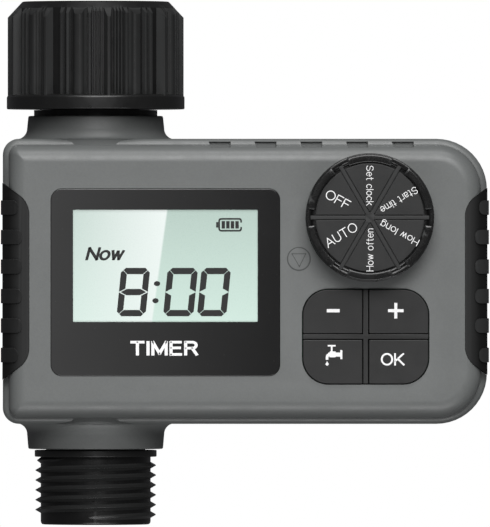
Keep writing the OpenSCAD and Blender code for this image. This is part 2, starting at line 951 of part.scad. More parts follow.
module button_manual() {
    key(KEY_SIDES[2]);
}

module button_ok() {
    key(KEY_SIDES[3]);
}

// ---- Dial ----

rim_t = 0.3;
arc_span = 45.4;

module dial_knob() {
    color(dark) translate([dial_x, 0, dial_z]) {
        difference() {
            rod_y(dial_front + rim_t, dial_back, dial_r);
            rod_y(dial_front - 1, dial_front + 1.2, face_r + fit_play);
            difference() {
                rod_y(dial_front + 2.4, dial_back + 1, dial_r - 1.5);
                rod_y(dial_front + 2.4, dial_back + 1, shaft_r + 2.4);
            }
            rod_y(shaft_tip, dial_back + 1, shaft_r);
        }
        for (i = [0:5]) {
            rotate([0, 60 * i - 30, 0]) rotate([90, 0, 0]) translate([0, 0, -dial_front - rim_t])
                rotate([0, 0, -arc_span / 2]) rotate_extrude(angle = arc_span)
                    translate([face_r + 0.3, 0]) square([dial_r - face_r - 0.45, rim_t + 0.3]);
        }
    }
}

module dial_face() {
    channel = 1;
    color(black) translate([dial_x, 0, dial_z]) difference() {
        rod_y(dial_front, dial_front + 1.2, face_r);
        for (i = [0:2]) {
            rotate([0, 60 * i, 0]) block([-20, dial_front - 1, -channel / 2], [20, dial_front + 0.4, channel / 2]);
        }
    }
}

module dial_shaft() {
    color(natural) translate([dial_x, 0, dial_z]) {
        rod_y(shaft_tip, switch_front + 0.4, shaft_r);
        rod_y(switch_front + 0.4, rotor_back, 2);
    }
}

module dial_seal() {
    section = 1.4;
    color(rubber) translate([dial_x, cover_back - 0.9, dial_z]) rotate([90, 0, 0])
        rotate_extrude() translate([shaft_r + 0.1 + section / 2, 0]) circle(r = section / 2, $fn = 24);
}

module rotary_switch() {
    color(dark) translate([dial_x, 0, dial_z]) difference() {
        slab(switch_front, pcb_front) square(17, center = true);
        rod_y(switch_front - 1, rotor_front, shaft_r + run_play);
        rod_y(rotor_front - 0.1, rotor_back + 0.1, rotor_r + 2.1);
    }
}

module switch_rotor() {
    color(natural) translate([dial_x, 0, dial_z]) difference() {
        rod_y(rotor_front, rotor_back, rotor_r);
        rod_y(rotor_front - 1, rotor_back + 1, 2);
        for (i = [0:detents - 1]) {
            rotate([0, 60 * i + 30, 0]) translate([rotor_r + 0.3, 0, 0]) rod_y(rotor_front - 1, rotor_back + 1, click_r + 0.1);
        }
    }
}

module detent_spring() {
    middle = (rotor_front + rotor_back) / 2;
    color(silver) translate([dial_x, middle, dial_z]) rotate([0, 30, 0]) {
        translate([rotor_r + 0.3, 0, 0]) rod_y(-0.5, 0.5, click_r - 0.1);
        block([rotor_r + 0.8, -0.5, -2.6], [rotor_r + 1.2, 0.5, 2.6]);
    }
}

// ---- Valve ----

// Places of the bonnet's four screws around the valve axis
LUG_SIDES = [[-1, -1], [-1, 1], [1, -1], [1, 1]];

module valve_body() {
    core_top = inlet_socket_top - socket_len;
    core_low = outlet_socket_bottom + socket_len;
    color("#33373a") difference() {
        union() {
            rod_z(core_top - 3, inlet_socket_top, socket_r);
            rod_z(outlet_socket_bottom, core_low + 3, socket_r);
            block([passage_x - passage_r - 1.5, -8.8, core_low], [8.8, 8.8, core_top]);
            translate([0, 0, mid_z]) rod_x(-2, seat_x, chamber_r);
            for (s = LUG_SIDES) {
                translate([0, s[0] * lug_at, mid_z + s[1] * lug_at]) rod_x(seat_x - 6, seat_x, lug_r);
            }
        }
        rod_z(core_top, inlet_socket_top + 1, stem_r + fit_play);
        rod_z(outlet_socket_bottom - 1, core_low, stem_r + fit_play);
        rod_z(mid_z + seat_r + seat_wall + 1.2, core_top + 1, bore_r - 0.6);
        translate([passage_x, 0, 0]) rod_z(core_low - 1, mid_z, passage_r);
        translate([0, 0, mid_z]) {
            rod_x(passage_x, seat_x + 1, seat_r);
            difference() {
                rod_x(3, seat_x + 1, cavity_r);
                rod_x(2, seat_x, seat_r + seat_wall);
            }
        }
        for (s = LUG_SIDES) {
            translate([0, s[0] * lug_at, mid_z + s[1] * lug_at]) rod_x(seat_x - 5, seat_x + 1, 1.05);
        }
    }
}

module diaphragm() {
    web = 0.7;
    color(rubber) translate([seat_x, 0, mid_z]) along_x() rotate_extrude() polygon([
        [0, 0], [6.8, 0], [7.3, 1.1], [8.6, 1.6], [9.7, 0.8], [9.9, 0], [clamp_r, 0],
        [clamp_r, diaphragm_t], [9.9, diaphragm_t], [9.7, diaphragm_t + web], [8.6, 1.6 + web],
        [7.1, 1.1 + web], [6.6, diaphragm_t], [0, diaphragm_t]
    ]);
}

module diaphragm_insert() {
    color(natural) translate([0, 0, mid_z]) {
        rod_x(bonnet_x, bonnet_x + 1.2, 5.8);
        rod_x(bonnet_x + 1.2, bonnet_x + 1.6, 2.2);
    }
}

module diaphragm_spring() {
    color(silver) translate([bonnet_x + 1.25, 0, mid_z]) along_x() spring(3.4, 0.5, cavity_depth - 1.3, 3);
}

module valve_bonnet() {
    color("#33373a") difference() {
        union() {
            translate([0, 0, mid_z]) rod_x(bonnet_x, bonnet_back, chamber_r);
            for (s = LUG_SIDES) {
                translate([0, s[0] * lug_at, mid_z + s[1] * lug_at]) rod_x(bonnet_x, bonnet_back, lug_r);
            }
            translate([0, solenoid_y, mid_z]) rod_x(bonnet_back, bonnet_back + nozzle_h, 1.3);
        }
        translate([0, 0, mid_z]) rod_x(bonnet_x - 1, bonnet_x + cavity_depth, cavity_r);
        translate([0, solenoid_y, mid_z]) rod_x(bonnet_x, bonnet_back + 2, 0.5);
        for (s = LUG_SIDES) {
            translate([0, s[0] * lug_at, mid_z + s[1] * lug_at]) rod_x(bonnet_x - 1, bonnet_back + 1, 1.3);
        }
    }
}

module bonnet_screws() {
    color(silver) for (s = LUG_SIDES) {
        translate([0, s[0] * lug_at, mid_z + s[1] * lug_at]) {
            rod_x(seat_x - 4, bonnet_back, 1);
            rod_x(bonnet_back, bonnet_back + screw_cap_t, 2.1);
        }
    }
}

// ---- Solenoid ----

module plunger_tube() {
    color(natural) translate([0, solenoid_y, mid_z]) difference() {
        union() {
            rod_x(bonnet_back, yoke_x, 5.6);
            rod_x(bonnet_back, tube_end, tube_r + tube_wall);
        }
        rod_x(bonnet_back - 1, tube_end + 1, tube_r);
    }
}

module plunger() {
    color(silver) translate([0, solenoid_y, mid_z]) difference() {
        rod_x(plunger_x, plunger_x + plunger_len, plunger_d / 2);
        rod_x(plunger_x + plunger_len - 6, plunger_x + plunger_len + 1, 1.8);
    }
}

module plunger_seal() {
    color(rubber) translate([0, solenoid_y, mid_z]) rod_x(plunger_x - seal_t, plunger_x, 2);
}

module plunger_spring() {
    start = plunger_x + plunger_len - 6;
    color(silver) translate([start, solenoid_y, mid_z]) along_x() spring(1.3, 0.4, core_x - start, 5);
}

module solenoid_core() {
    color(silver) translate([0, solenoid_y, mid_z]) rod_x(core_x, tube_end, tube_r - 0.05);
}

module latch_magnet() {
    color("#6e7073") translate([0, solenoid_y, mid_z]) rod_x(tube_end, tube_end + magnet_t, 5);
}

module coil_bobbin() {
    color(natural) translate([0, solenoid_y, mid_z]) difference() {
        union() {
            rod_x(coil_x0, coil_x1, bobbin_r + 0.8);
            rod_x(coil_x0, coil_x0 + 1, coil_flange_r);
            rod_x(coil_x1 - 1, coil_x1, coil_flange_r);
        }
        rod_x(coil_x0 - 1, coil_x1 + 1, bobbin_r);
    }
}

module coil_winding() {
    color(copper) translate([0, solenoid_y, mid_z]) difference() {
        rod_x(coil_x0 + 1, coil_x1 - 1, coil_r);
        rod_x(coil_x0, coil_x1, bobbin_r + 0.8);
    }
}

module yoke() {
    half_w = 6.2;
    half_h = coil_r + 1;
    color(silver) translate([0, solenoid_y, mid_z]) difference() {
        union() {
            block([yoke_x, -half_w, -half_h], [yoke_x + yoke_t, half_w, half_h + yoke_t]);
            block([yoke_end - yoke_t, -half_w, -half_h], [yoke_end, half_w, half_h + yoke_t]);
            block([yoke_x, -half_w, half_h], [yoke_end, half_w, half_h + yoke_t]);
        }
        rod_x(yoke_x - 1, yoke_end + 1, bobbin_r);
    }
}

module solenoid_leads() {
    plug_y = pcb_back + 1.5;
    for (s = [-1, 1]) {
        plug_z = mid_z - 11.8 + s;
        color(s < 0 ? "#a02020" : "#202020") wire(
            [coil_x1 - 0.5, solenoid_y + s, mid_z - coil_flange_r],
            [coil_x1 - 0.5, solenoid_y + s, mid_z - coil_r - 9],
            [connector_x, plug_y + 12, plug_z],
            [connector_x, plug_y, plug_z],
            0.55
        );
    }
}

// ---- Battery tray ----

module battery_tray() {
    color(dark) difference() {
        intersection() {
            block([tray_x0, tray_y0, mid_z - tray_h / 2], [tray_x1, tray_y1, mid_z + tray_h / 2]);
            grip_form(grip_t);
        }
        for (s = [-1, 1]) {
            z = mid_z + s * cell_up;
            block([tray_pocket_x0, tray_y0 - 1, z - pocket_h / 2], [tray_inner, tray_y1 - tray_wall, z + pocket_h / 2]);
            block([tray_x0 - 1, cell_y - 2, z - 4.5], [tray_pocket_x0 + 1, cell_y + 2, z + 4.5]);
        }
        difference() {
            block([tray_inner + 0.5, tray_y0 - 1, mid_z - tray_h], [tray_inner + 1.3, tray_y1 + 1, mid_z + tray_h]);
            block(
                [tray_inner, tray_y0 + 0.6, mid_z - tray_h / 2 + 0.6],
                [tray_inner + 2, tray_y1 - 0.6, mid_z + tray_h / 2 - 0.6]
            );
        }
    }
}

module tray_seal() {
    color(rubber) difference() {
        intersection() {
            block(
                [tray_inner + 0.5, tray_y0 - 0.15, mid_z - tray_h / 2 - 0.15],
                [tray_inner + 1.3, tray_y1 + 0.15, mid_z + tray_h / 2 + 0.15]
            );
            grip_form(grip_t);
        }
        block(
            [tray_inner, tray_y0 + 0.6, mid_z - tray_h / 2 + 0.6],
            [tray_inner + 2, tray_y1 - 0.6, mid_z + tray_h / 2 - 0.6]
        );
    }
}

// A round cell along X with its raised terminal at the end that way points to
module cell(x0, way) {
    nub = 1;
    x1 = x0 + cell_len;
    rod_x(way > 0 ? x0 : x0 + nub, way > 0 ? x1 - nub : x1, cell_r);
    rod_x(way > 0 ? x1 - nub : x0, way > 0 ? x1 : x0 + nub, 2.6);
}

module battery_upper() {
    color(brass) translate([0, cell_y, mid_z + cell_up]) cell(tray_pocket_x0 + contact_t + spring_len, 1);
}

module battery_lower() {
    color(brass) translate([0, cell_y, mid_z - cell_up]) cell(tray_pocket_x0 + contact_t, -1);
}

module tray_springs() {
    color(silver) {
        translate([tray_inner - contact_t - spring_len, cell_y, mid_z - cell_up]) along_x() spring(4, 0.7, spring_len, 3);
        translate([tray_pocket_x0 + contact_t, cell_y, mid_z + cell_up]) along_x() spring(4, 0.7, spring_len, 3);
    }
}

module tray_contacts() {
    color(silver) {
        block([tray_inner - contact_t, cell_y - 5, mid_z - cell_up - 5], [tray_inner, cell_y + 5, mid_z - tray_wall / 2]);
        block([tray_inner - contact_t, cell_y - 5, mid_z + tray_wall / 2], [tray_inner, cell_y + 5, mid_z + cell_up + 5]);
        for (s = [-1, 1]) {
            z = mid_z + s * cell_up;
            block([tray_pocket_x0, cell_y - 5, z - 6], [tray_pocket_x0 + contact_t, cell_y + 5, z + 6]);
        }
    }
}

module housing_terminals() {
    color(brass) for (s = [-1, 1]) {
        z = mid_z + s * cell_up;
        block([block_x1, cell_y - 1.3, z - 4], [block_x1 + 0.4, cell_y + 1.3, z + 4]);
        block([block_x1 + 0.4, cell_y - 1.3, z - 0.2], [tray_pocket_x0, cell_y + 1.3, z + 0.2]);
    }
}

module battery_leads() {
    middle = (block_x0 + block_x1) / 2;
    for (s = [-1, 1]) {
        plug_z = mid_z + 11.8 + s;
        color(s < 0 ? "#202020" : "#a02020") wire(
            [middle, cell_y - 4, plug_z],
            [middle, tray_y0 - 8, plug_z],
            [connector_x, pcb_back + 12, plug_z],
            [connector_x, pcb_back + 1.5, plug_z],
            0.55
        );
    }
}

// ---- Outlet ----

module outlet_spigot() {
    last_crest = outlet_ring_low - 1.25;
    thread_low = last_crest - (thread_turns - 1) * thread_pitch;
    pilot_r = root_r - 0.1;
    color(black) rotate_extrude() polygon(concat(
        [
            [outlet_bore_r, outlet_end], [pilot_r - 0.4, outlet_end], [pilot_r, outlet_end + 0.4],
            [root_r, outlet_end + 0.6]
        ],
        thread_points(root_r, thread_r, thread_low),
        [
            [root_r, outlet_ring_low], [ring_r, outlet_ring_low], [ring_r, outlet_ring_top],
            [stem_r + 1.1, outlet_ring_top], [stem_r + 1.1, collar_low], [stem_r, collar_low],
            [stem_r, outlet_clip_bottom - clip_gap], [stem_r - clip_depth, outlet_clip_bottom - clip_gap],
            [stem_r - clip_depth, outlet_clip_bottom + clip_t + clip_gap],
            [stem_r, outlet_clip_bottom + clip_t + clip_gap],
            [stem_r, outlet_oring_z - oring_groove / 2], [oring_floor, outlet_oring_z - oring_groove / 2],
            [oring_floor, outlet_oring_z + oring_groove / 2], [stem_r, outlet_oring_z + oring_groove / 2],
            [stem_r, outlet_stem_end], [bore_r, outlet_stem_end], [bore_r, collar_low + 2],
            [outlet_bore_r, collar_low]
        ]
    ));
}

inlet_nut();
inlet_washer();
inlet_filter();
inlet_spigot();
spigot_clips();
spigot_orings();
rear_housing();
front_cover();
housing_seal();
housing_screws();
grip_left();
grip_right();
display_window();
lcd_glass();
lcd_holder();
lcd_connectors();
main_pcb();
pcb_components();
pcb_screws();
tact_switches();
keypad_frame();
keypad_membrane();
button_minus();
button_plus();
button_manual();
button_ok();
dial_knob();
dial_face();
dial_shaft();
dial_seal();
rotary_switch();
switch_rotor();
detent_spring();
valve_body();
valve_bonnet();
bonnet_screws();
diaphragm();
diaphragm_insert();
diaphragm_spring();
plunger_tube();
plunger();
plunger_seal();
plunger_spring();
solenoid_core();
latch_magnet();
coil_bobbin();
coil_winding();
yoke();
solenoid_leads();
battery_tray();
tray_seal();
battery_upper();
battery_lower();
tray_springs();
tray_contacts();
housing_terminals();
battery_leads();
outlet_spigot();
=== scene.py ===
"""Looks of the drip irrigation timer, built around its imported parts."""

import json
import math

import bmesh
import bpy
from mathutils import Matrix, Vector


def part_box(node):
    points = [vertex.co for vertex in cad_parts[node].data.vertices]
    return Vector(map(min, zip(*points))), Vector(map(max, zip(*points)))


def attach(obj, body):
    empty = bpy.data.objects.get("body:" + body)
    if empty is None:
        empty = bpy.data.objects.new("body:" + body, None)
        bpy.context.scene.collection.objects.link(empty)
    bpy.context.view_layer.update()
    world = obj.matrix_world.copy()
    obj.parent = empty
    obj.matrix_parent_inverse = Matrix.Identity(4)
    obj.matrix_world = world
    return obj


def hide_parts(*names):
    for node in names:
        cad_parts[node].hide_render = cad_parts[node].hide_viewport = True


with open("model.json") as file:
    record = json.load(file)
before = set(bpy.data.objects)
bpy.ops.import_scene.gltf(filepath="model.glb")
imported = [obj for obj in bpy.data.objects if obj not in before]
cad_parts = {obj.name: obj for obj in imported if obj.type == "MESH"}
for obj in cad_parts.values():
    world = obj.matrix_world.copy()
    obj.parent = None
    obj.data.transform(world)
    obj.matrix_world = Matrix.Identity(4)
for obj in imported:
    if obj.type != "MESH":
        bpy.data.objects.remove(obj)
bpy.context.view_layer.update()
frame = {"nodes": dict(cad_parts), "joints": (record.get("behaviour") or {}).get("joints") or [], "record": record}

MM = 0.001
TAU = 2 * math.pi


# ---- Turns and moves ----

def round_z(degrees):
    return Matrix.Rotation(math.radians(degrees), 4, "Z")


def round_x(degrees):
    return Matrix.Rotation(math.radians(degrees), 4, "X")


def shift(x, y, z):
    return Matrix.Translation((x, y, z))


def soften(bm, geom, offset, segments, affect="EDGES", clamp=True):
    """Rounds edges or corners by a fixed offset."""
    bmesh.ops.bevel(
        bm, geom=geom, offset=offset, offset_type="OFFSET", affect=affect,
        segments=segments, profile=0.5, material=-1, clamp_overlap=clamp)


# ---- Places, all in millimetres ----

def corners(node):
    """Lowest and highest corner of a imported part, in millimetres."""
    low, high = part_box(node)
    return low / MM, high / MM


def joint_point(name):
    """The point that a joint turns about, in millimetres."""
    for joint in frame["joints"]:
        if joint["name"] == name:
            return Vector(joint["pos_m"]) / MM


RIM_STEP = 1.4
COVER_EDGE = 3.8
BACK_EDGE = 4.0
CORNER_LEFT = 3.6
CORNER_RIGHT = 11.3
WALL = 3.0
RING_STEPS = 10
ARC_STEPS = 12

cover_low, cover_high = corners("front_cover")
rear_low, rear_high = corners("rear_housing")
LEFT = cover_low.x - RIM_STEP
RIGHT = cover_high.x + RIM_STEP
TOP = cover_high.z + RIM_STEP
BOTTOM = cover_low.z - RIM_STEP
FRONT = cover_low.y
SEAM = cover_high.y
BACK = rear_high.y
MID_Z = (TOP + BOTTOM) / 2
INNER_BACK = BACK - 2.0
COLLAR_TOP = rear_high.z
COLLAR_LOW = rear_low.z


# ---- Making meshes ----

def front_turn(y):
    """Takes a shape drawn in XY and rising along +Z to the front view, with its zero height at y."""
    return shift(0, y, 0) @ round_x(90)


def stamp(bm, matrix):
    """Moves all of a mesh."""
    bmesh.ops.transform(bm, matrix=matrix, verts=bm.verts)
    return bm


def merged(parts):
    """One mesh out of several."""
    whole = bmesh.new()
    for bm in parts:
        mesh = bpy.data.meshes.new("part")
        bm.to_mesh(mesh)
        bm.free()
        whole.from_mesh(mesh)
        bpy.data.meshes.remove(mesh)
    return whole


def joined(parts):
    """One closed mesh out of several that overlap."""
    whole = parts[0]
    for part in parts[1:]:
        whole = carve(whole, part, "UNION")
    return whole


def recalc(bm):
    bmesh.ops.recalc_face_normals(bm, faces=bm.faces)
    return bm


def finish(bm, name, material, body, sharp=35, weighted=True):
    """Makes a piece out of a mesh in millimetres and lets it ride on its body."""
    stamp(bm, Matrix.Scale(MM, 4))
    mesh = bpy.data.meshes.new(name)
    bm.to_mesh(mesh)
    bm.free()
    mesh.shade_smooth()
    mesh.set_sharp_from_angle(angle=math.radians(sharp))
    piece = bpy.data.objects.new(name, mesh)
    bpy.context.scene.collection.objects.link(piece)
    mesh.materials.append(material)
    if weighted:
        normals = piece.modifiers.new("Even normals", "WEIGHTED_NORMAL")
        normals.keep_sharp = True
        normals.weight = 90
    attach(piece, body)
    return piece


def outline_face(bm, low, high, radii, height=0.0, steps=ARC_STEPS):
    """A rounded rectangle; radii go round from the lower left corner, anticlockwise."""
    places = [(low[0], low[1]), (high[0], low[1]), (high[0], high[1]), (low[0], high[1])]
    verts = [bm.verts.new((x, y, height)) for x, y in places]
    bm.faces.new(verts)
    for vert, radius in zip(verts, radii):
        if radius > 0:
            soften(bm, [vert], radius, steps, "VERTICES", False)
    bm.faces.ensure_lookup_table()
    return [f for f in bm.faces if all(abs(v.co.z - height) < 1e-6 for v in f.verts)][-1]


def plate(low, high, radii, height, edge=0.0, edge_steps=3, steps=ARC_STEPS):
    """A rounded plate standing on z = 0, with its upper edge rounded."""
    bm = bmesh.new()
    outline_face(bm, low, high, radii, 0.0, steps)
    grown = bmesh.ops.extrude_face_region(bm, geom=list(bm.faces))
    tops = [v for v in grown["geom"] if isinstance(v, bmesh.types.BMVert)]
    bmesh.ops.translate(bm, vec=(0, 0, height), verts=tops)
    recalc(bm)
    if edge > 0:
        rim = [e for e in bm.edges if all(abs(v.co.z - height) < 1e-6 for v in e.verts)]
        soften(bm, rim, edge, edge_steps)
    return bm


def shell_form(y0, y1, edge0, edge1, inset):
    """The housing's rounded form between two depths, drawn ring after ring from the front."""
    levels = []
    for i in range(RING_STEPS + 1):
        turn = math.radians(90 * i / RING_STEPS)
        levels.append((y0 + edge0 * (1 - math.sin(turn)), inset + edge0 * (1 - math.cos(turn))))
    levels.reverse()
    levels.sort(key=lambda level: level[0])
    ends = []
    for i in range(RING_STEPS + 1):
        turn = math.radians(90 * i / RING_STEPS)
        ends.append((y1 - edge1 * (1 - math.sin(turn)), inset + edge1 * (1 - math.cos(turn))))
    ends.sort(key=lambda level: level[0])
    rings = []
    for level in levels + ends:
        if not rings or abs(level[0] - rings[-1][0]) > 1e-4:
            rings.append(level)
    bm = bmesh.new()
    previous = None
    for count, (y, step) in enumerate(rings):
        left = max(CORNER_LEFT - step, 0.3)
        right = max(CORNER_RIGHT - step, 0.3)
        face = outline_face(
            bm, (LEFT + step, BOTTOM + step), (RIGHT - step, TOP - step),
            (left, right, right, left), -y)
        loop = list(face.edges)
        if previous:
            bmesh.ops.bridge_loops(bm, edges=previous + loop)
        if 0 < count < len(rings) - 1:
            bmesh.ops.delete(bm, geom=[face], context="FACES_ONLY")
        previous = loop
    recalc(bm)
    return stamp(bm, front_turn(0))


def turned(profile, steps=96):
    """A closed solid of revolution about Z out of (radius, height) corners."""
    bm = bmesh.new()
    verts = [bm.verts.new((r, 0, z)) for r, z in profile]
    edges = [bm.edges.new((a, b)) for a, b in zip(verts, verts[1:] + verts[:1])]
    edges = [e for e in edges if max(abs(v.co.x) for v in e.verts) > 1e-6]
    bmesh.ops.spin(
        bm, geom=verts + edges, cent=(0, 0, 0), axis=(0, 0, 1), angle=TAU, steps=steps,
        use_merge=True, use_duplicate=False)
    bmesh.ops.remove_doubles(bm, verts=bm.verts, dist=1e-4)
    return recalc(bm)


def rounded(points, radius, at, steps=4):
    """A copy of a corner list in which the corners named by number become short arcs."""
    out = []
    for i, point in enumerate(points):
        if i not in at:
            out.append(point)
            continue
        here = Vector(point)
        back = (Vector(points[i - 1]) - here)
        ahead = (Vector(points[(i + 1) % len(points)]) - here)
        reach = min(radius, back.length * 0.45, ahead.length * 0.45)
        start = here + back.normalized() * reach
        end = here + ahead.normalized() * reach
        for k in range(steps + 1):
            t = k / steps
            out.append(tuple(start * (1 - t) ** 2 + here * 2 * t * (1 - t) + end * t * t))
    return out


def box_solid(low, high, edge=0.0):
    """A block between two corners with rounded edges."""
    bm = bmesh.new()
    low, high = Vector(low), Vector(high)
    size = high - low
    bmesh.ops.create_cube(bm, size=1.0)
    stamp(bm, Matrix.Translation((low + high) / 2) @ Matrix.Diagonal((*size, 1)))
    if edge > 0:
        soften(bm, list(bm.edges), edge, 2)
    return bm


def rod(radius, z0, z1, steps=48, edge=0.0):
    """A round rod along Z."""
    bm = bmesh.new()
    bmesh.ops.create_cone(
        bm, cap_ends=True, cap_tris=False, segments=steps, radius1=radius, radius2=radius,
        depth=z1 - z0, matrix=shift(0, 0, (z0 + z1) / 2))
    if edge > 0:
        rim = [e for e in bm.edges if abs(e.verts[0].co.z - e.verts[1].co.z) < 1e-6]
        soften(bm, rim, edge, 3)
    return bm


def carve(bm, tool, operation="DIFFERENCE"):
    """Takes tool away from a mesh, or keeps what both share."""
    made = []
    for part in (bm, tool):
        mesh = bpy.data.meshes.new("carve")
        part.to_mesh(mesh)
        part.free()
        thing = bpy.data.objects.new("carve", mesh)
        bpy.context.scene.collection.objects.link(thing)
        made.append(thing)
    body, cutter = made
    step = body.modifiers.new("Carve", "BOOLEAN")
    step.operation = operation
    step.object = cutter
    step.solver = "EXACT"
    bpy.context.view_layer.update()
    result = bmesh.new()
    result.from_object(body, bpy.context.evaluated_depsgraph_get())
    for thing in made:
        mesh = thing.data
        bpy.data.objects.remove(thing)
        bpy.data.meshes.remove(mesh)
    bmesh.ops.remove_doubles(result, verts=result.verts, dist=1e-4)
    bmesh.ops.dissolve_degenerate(result, edges=result.edges, dist=1e-4)
    return result


# ---- Shader parts ----

def new_group(name, inputs, outputs):
    """An empty node group with its sockets and its two end nodes."""
    group = bpy.data.node_groups.new(name, "ShaderNodeTree")
    for label, kind, value in inputs:
        socket = group.interface.new_socket(label, in_out="INPUT", socket_type=kind)
        if value is not None:
            socket.default_value = value
    for label, kind in outputs:
        group.interface.new_socket(label, in_out="OUTPUT", socket_type=kind)
    start = group.nodes.new("NodeGroupInput")
    end = group.nodes.new("NodeGroupOutput")
    return group, start, end


def link(tree, pairs):
    for source, target in pairs:
        tree.links.new(source, target)


def noise(tree, vector, scale, detail=4.0, roughness=0.55):
    node = tree.nodes.new("ShaderNodeTexNoise")
    node.inputs["Scale"].default_value = scale
    node.inputs["Detail"].default_value = detail
    node.inputs["Roughness"].default_value = roughness
    tree.links.new(vector, node.inputs["Vector"])
    return node


def ramp(tree, source, low, high, to_low=0.0, to_high=1.0):
    node = tree.nodes.new("ShaderNodeMapRange")
    node.inputs["From Min"].default_value = low
    node.inputs["From Max"].default_value = high
    node.inputs["To Min"].default_value = to_low
    node.inputs["To Max"].default_value = to_high
    tree.links.new(source, node.inputs["Value"])
    return node.outputs["Result"]


def mix(tree, factor, first, second):
    """Mixes two colours; each of the three may be a socket or a plain value."""
    node = tree.nodes.new("ShaderNodeMix")
    node.data_type = "RGBA"
    for socket, value in ((node.inputs[0], factor), (node.inputs[6], first), (node.inputs[7], second)):
        if isinstance(value, bpy.types.NodeSocket):
            tree.links.new(value, socket)
        else:
            socket.default_value = value
    return node.outputs[2]


def maths(tree, operation, first, second=0.0):
    node = tree.nodes.new("ShaderNodeMath")
    node.operation = operation
    for socket, value in zip(node.inputs, (first, second)):
        if isinstance(value, bpy.types.NodeSocket):
            tree.links.new(value, socket)
        else:
            socket.default_value = value
    return node.outputs[0]


def moulded_group():
    """Moulded plastic: a fine spark texture, slow colour drift, scuffs and worn edges."""
    group, start, end = new_group(
        "Moulded surface",
        [
            ("Vector", "NodeSocketVector", None),
            ("Colour", "NodeSocketColor", (0.5, 0.5, 0.5, 1)),
            ("Grain size", "NodeSocketFloat", 3000.0),
            ("Drift", "NodeSocketFloat", 0.08),
            ("Roughness", "NodeSocketFloat", 0.5),
            ("Wear", "NodeSocketFloat", 0.2),
        ],
        [("Colour", "NodeSocketColor"), ("Roughness", "NodeSocketFloat"), ("Height", "NodeSocketFloat")])
    vector = start.outputs["Vector"]
    fine = noise(group, vector, 3000, 3.0, 0.6)
    link(group, [(start.outputs["Grain size"], fine.inputs["Scale"])])
    slow = noise(group, vector, 45, 3.0)
    scuff = noise(group, vector, 260, 5.0, 0.7)
    drift = ramp(group, slow.outputs["Fac"], 0.3, 0.7, -0.5, 0.5)
    shade = maths(group, "MULTIPLY", drift, start.outputs["Drift"])
    speck = maths(group, "MULTIPLY", ramp(group, fine.outputs["Fac"], 0.3, 0.7, -0.5, 0.5), 0.1)
    factor = maths(group, "ADD", maths(group, "ADD", shade, speck), 1.0)
    scaled = group.nodes.new("ShaderNodeVectorMath")
    scaled.operation = "SCALE"
    link(group, [(start.outputs["Colour"], scaled.inputs[0]), (factor, scaled.inputs["Scale"])])
    edges = group.nodes.new("ShaderNodeNewGeometry")
    worn = ramp(group, edges.outputs["Pointiness"], 0.52, 0.62)
    worn = maths(group, "MULTIPLY", worn, start.outputs["Wear"])
    lifted = mix(group, worn, scaled.outputs[0], (0.42, 0.43, 0.43, 1))
    scuffed = ramp(group, scuff.outputs["Fac"], 0.35, 0.75, -0.05, 0.09)
    rough = maths(group, "ADD", start.outputs["Roughness"], scuffed)
    height = maths(group, "ADD", fine.outputs["Fac"], maths(group, "MULTIPLY", scuff.outputs["Fac"], 0.25))
    link(group, [
        (lifted, end.inputs["Colour"]),
        (rough, end.inputs["Roughness"]),
        (height, end.inputs["Height"]),
    ])
    return group


MOULDED = moulded_group()


def start_material(name):
    material = bpy.data.materials.new(name)
    material.use_nodes = True
    tree = material.node_tree
    shader = tree.nodes["Principled BSDF"]
    place = tree.nodes.new("ShaderNodeTexCoord")
    return material, tree, shader, place.outputs["Object"]


def bump(tree, shader, height, strength, distance):
    node = tree.nodes.new("ShaderNodeBump")
    node.inputs["Strength"].default_value = strength
    node.inputs["Distance"].default_value = distance
    link(tree, [(height, node.inputs["Height"]), (node.outputs["Normal"], shader.inputs["Normal"])])
    return node


MOULD_DEPTH = 0.00002


def moulded(name, colour, roughness, grain=3000.0, drift=0.08, wear=0.15, relief=0.25,
            specular=0.5, coat=0.0, metallic=0.0):
    """A plastic, rubber or plain metal finish around the moulded surface group."""
    material, tree, shader, place = start_material(name)
    surface = tree.nodes.new("ShaderNodeGroup")
    surface.node_tree = MOULDED
    surface.inputs["Colour"].default_value = (*colour, 1)
    surface.inputs["Grain size"].default_value = grain
    surface.inputs["Drift"].default_value = drift
    surface.inputs["Roughness"].default_value = roughness
    surface.inputs["Wear"].default_value = wear
    link(tree, [
        (place, surface.inputs["Vector"]),
        (surface.outputs["Colour"], shader.inputs["Base Color"]),
        (surface.outputs["Roughness"], shader.inputs["Roughness"]),
    ])
    bump(tree, shader, surface.outputs["Height"], relief, MOULD_DEPTH)
    shader.inputs["Specular IOR Level"].default_value = specular
    shader.inputs["Coat Weight"].default_value = coat
    shader.inputs["Coat Roughness"].default_value = 0.08
    shader.inputs["Metallic"].default_value = metallic
    return material


def tone(value, tint=(1.0, 1.0, 1.0)):
    """Linear colour of an 8-bit grey with a slight tint."""
    share = value / 255
    level = share / 12.92 if share <= 0.04045 else ((share + 0.055) / 1.055) ** 2.4
    return tuple(level * t for t in tint)


GREY = moulded("Housing grey", tone(101, (0.955, 1.0, 0.985)), 0.42, 2600, 0.05, 0.1, 0.22)
# Painted shade: a darker grey for the pointer mark's lines, in place of the shadow in engraved lines.
GROOVE_SHADE = moulded("Shaded grey", tone(66, (0.955, 1.0, 0.985)), 0.5, 2600, 0.05, 0.0, 0.2)
BLACK = moulded("Black moulding", tone(16), 0.36, 2200, 0.1, 0.06, 0.2, specular=0.2)
SHADE_BLACK = moulded("Recessed black", tone(20), 0.32, 2200, 0.1, 0.06, 0.2, specular=0.45)
THREAD = moulded("Black thread", tone(15), 0.32, 2000, 0.1, 0.06, 0.12, specular=0.42)
DARK = moulded("Dark control plastic", tone(31), 0.42, 3200, 0.06, 0.06, 0.25, specular=0.3)
GLOSS_DARK = moulded("Polished dark plastic", tone(14), 0.27, 2400, 0.08, 0.12, 0.05,
                     coat=0.3, specular=0.3)
KEY = moulded("Key plastic", tone(39), 0.42, 3200, 0.06, 0.06, 0.25, specular=0.3)
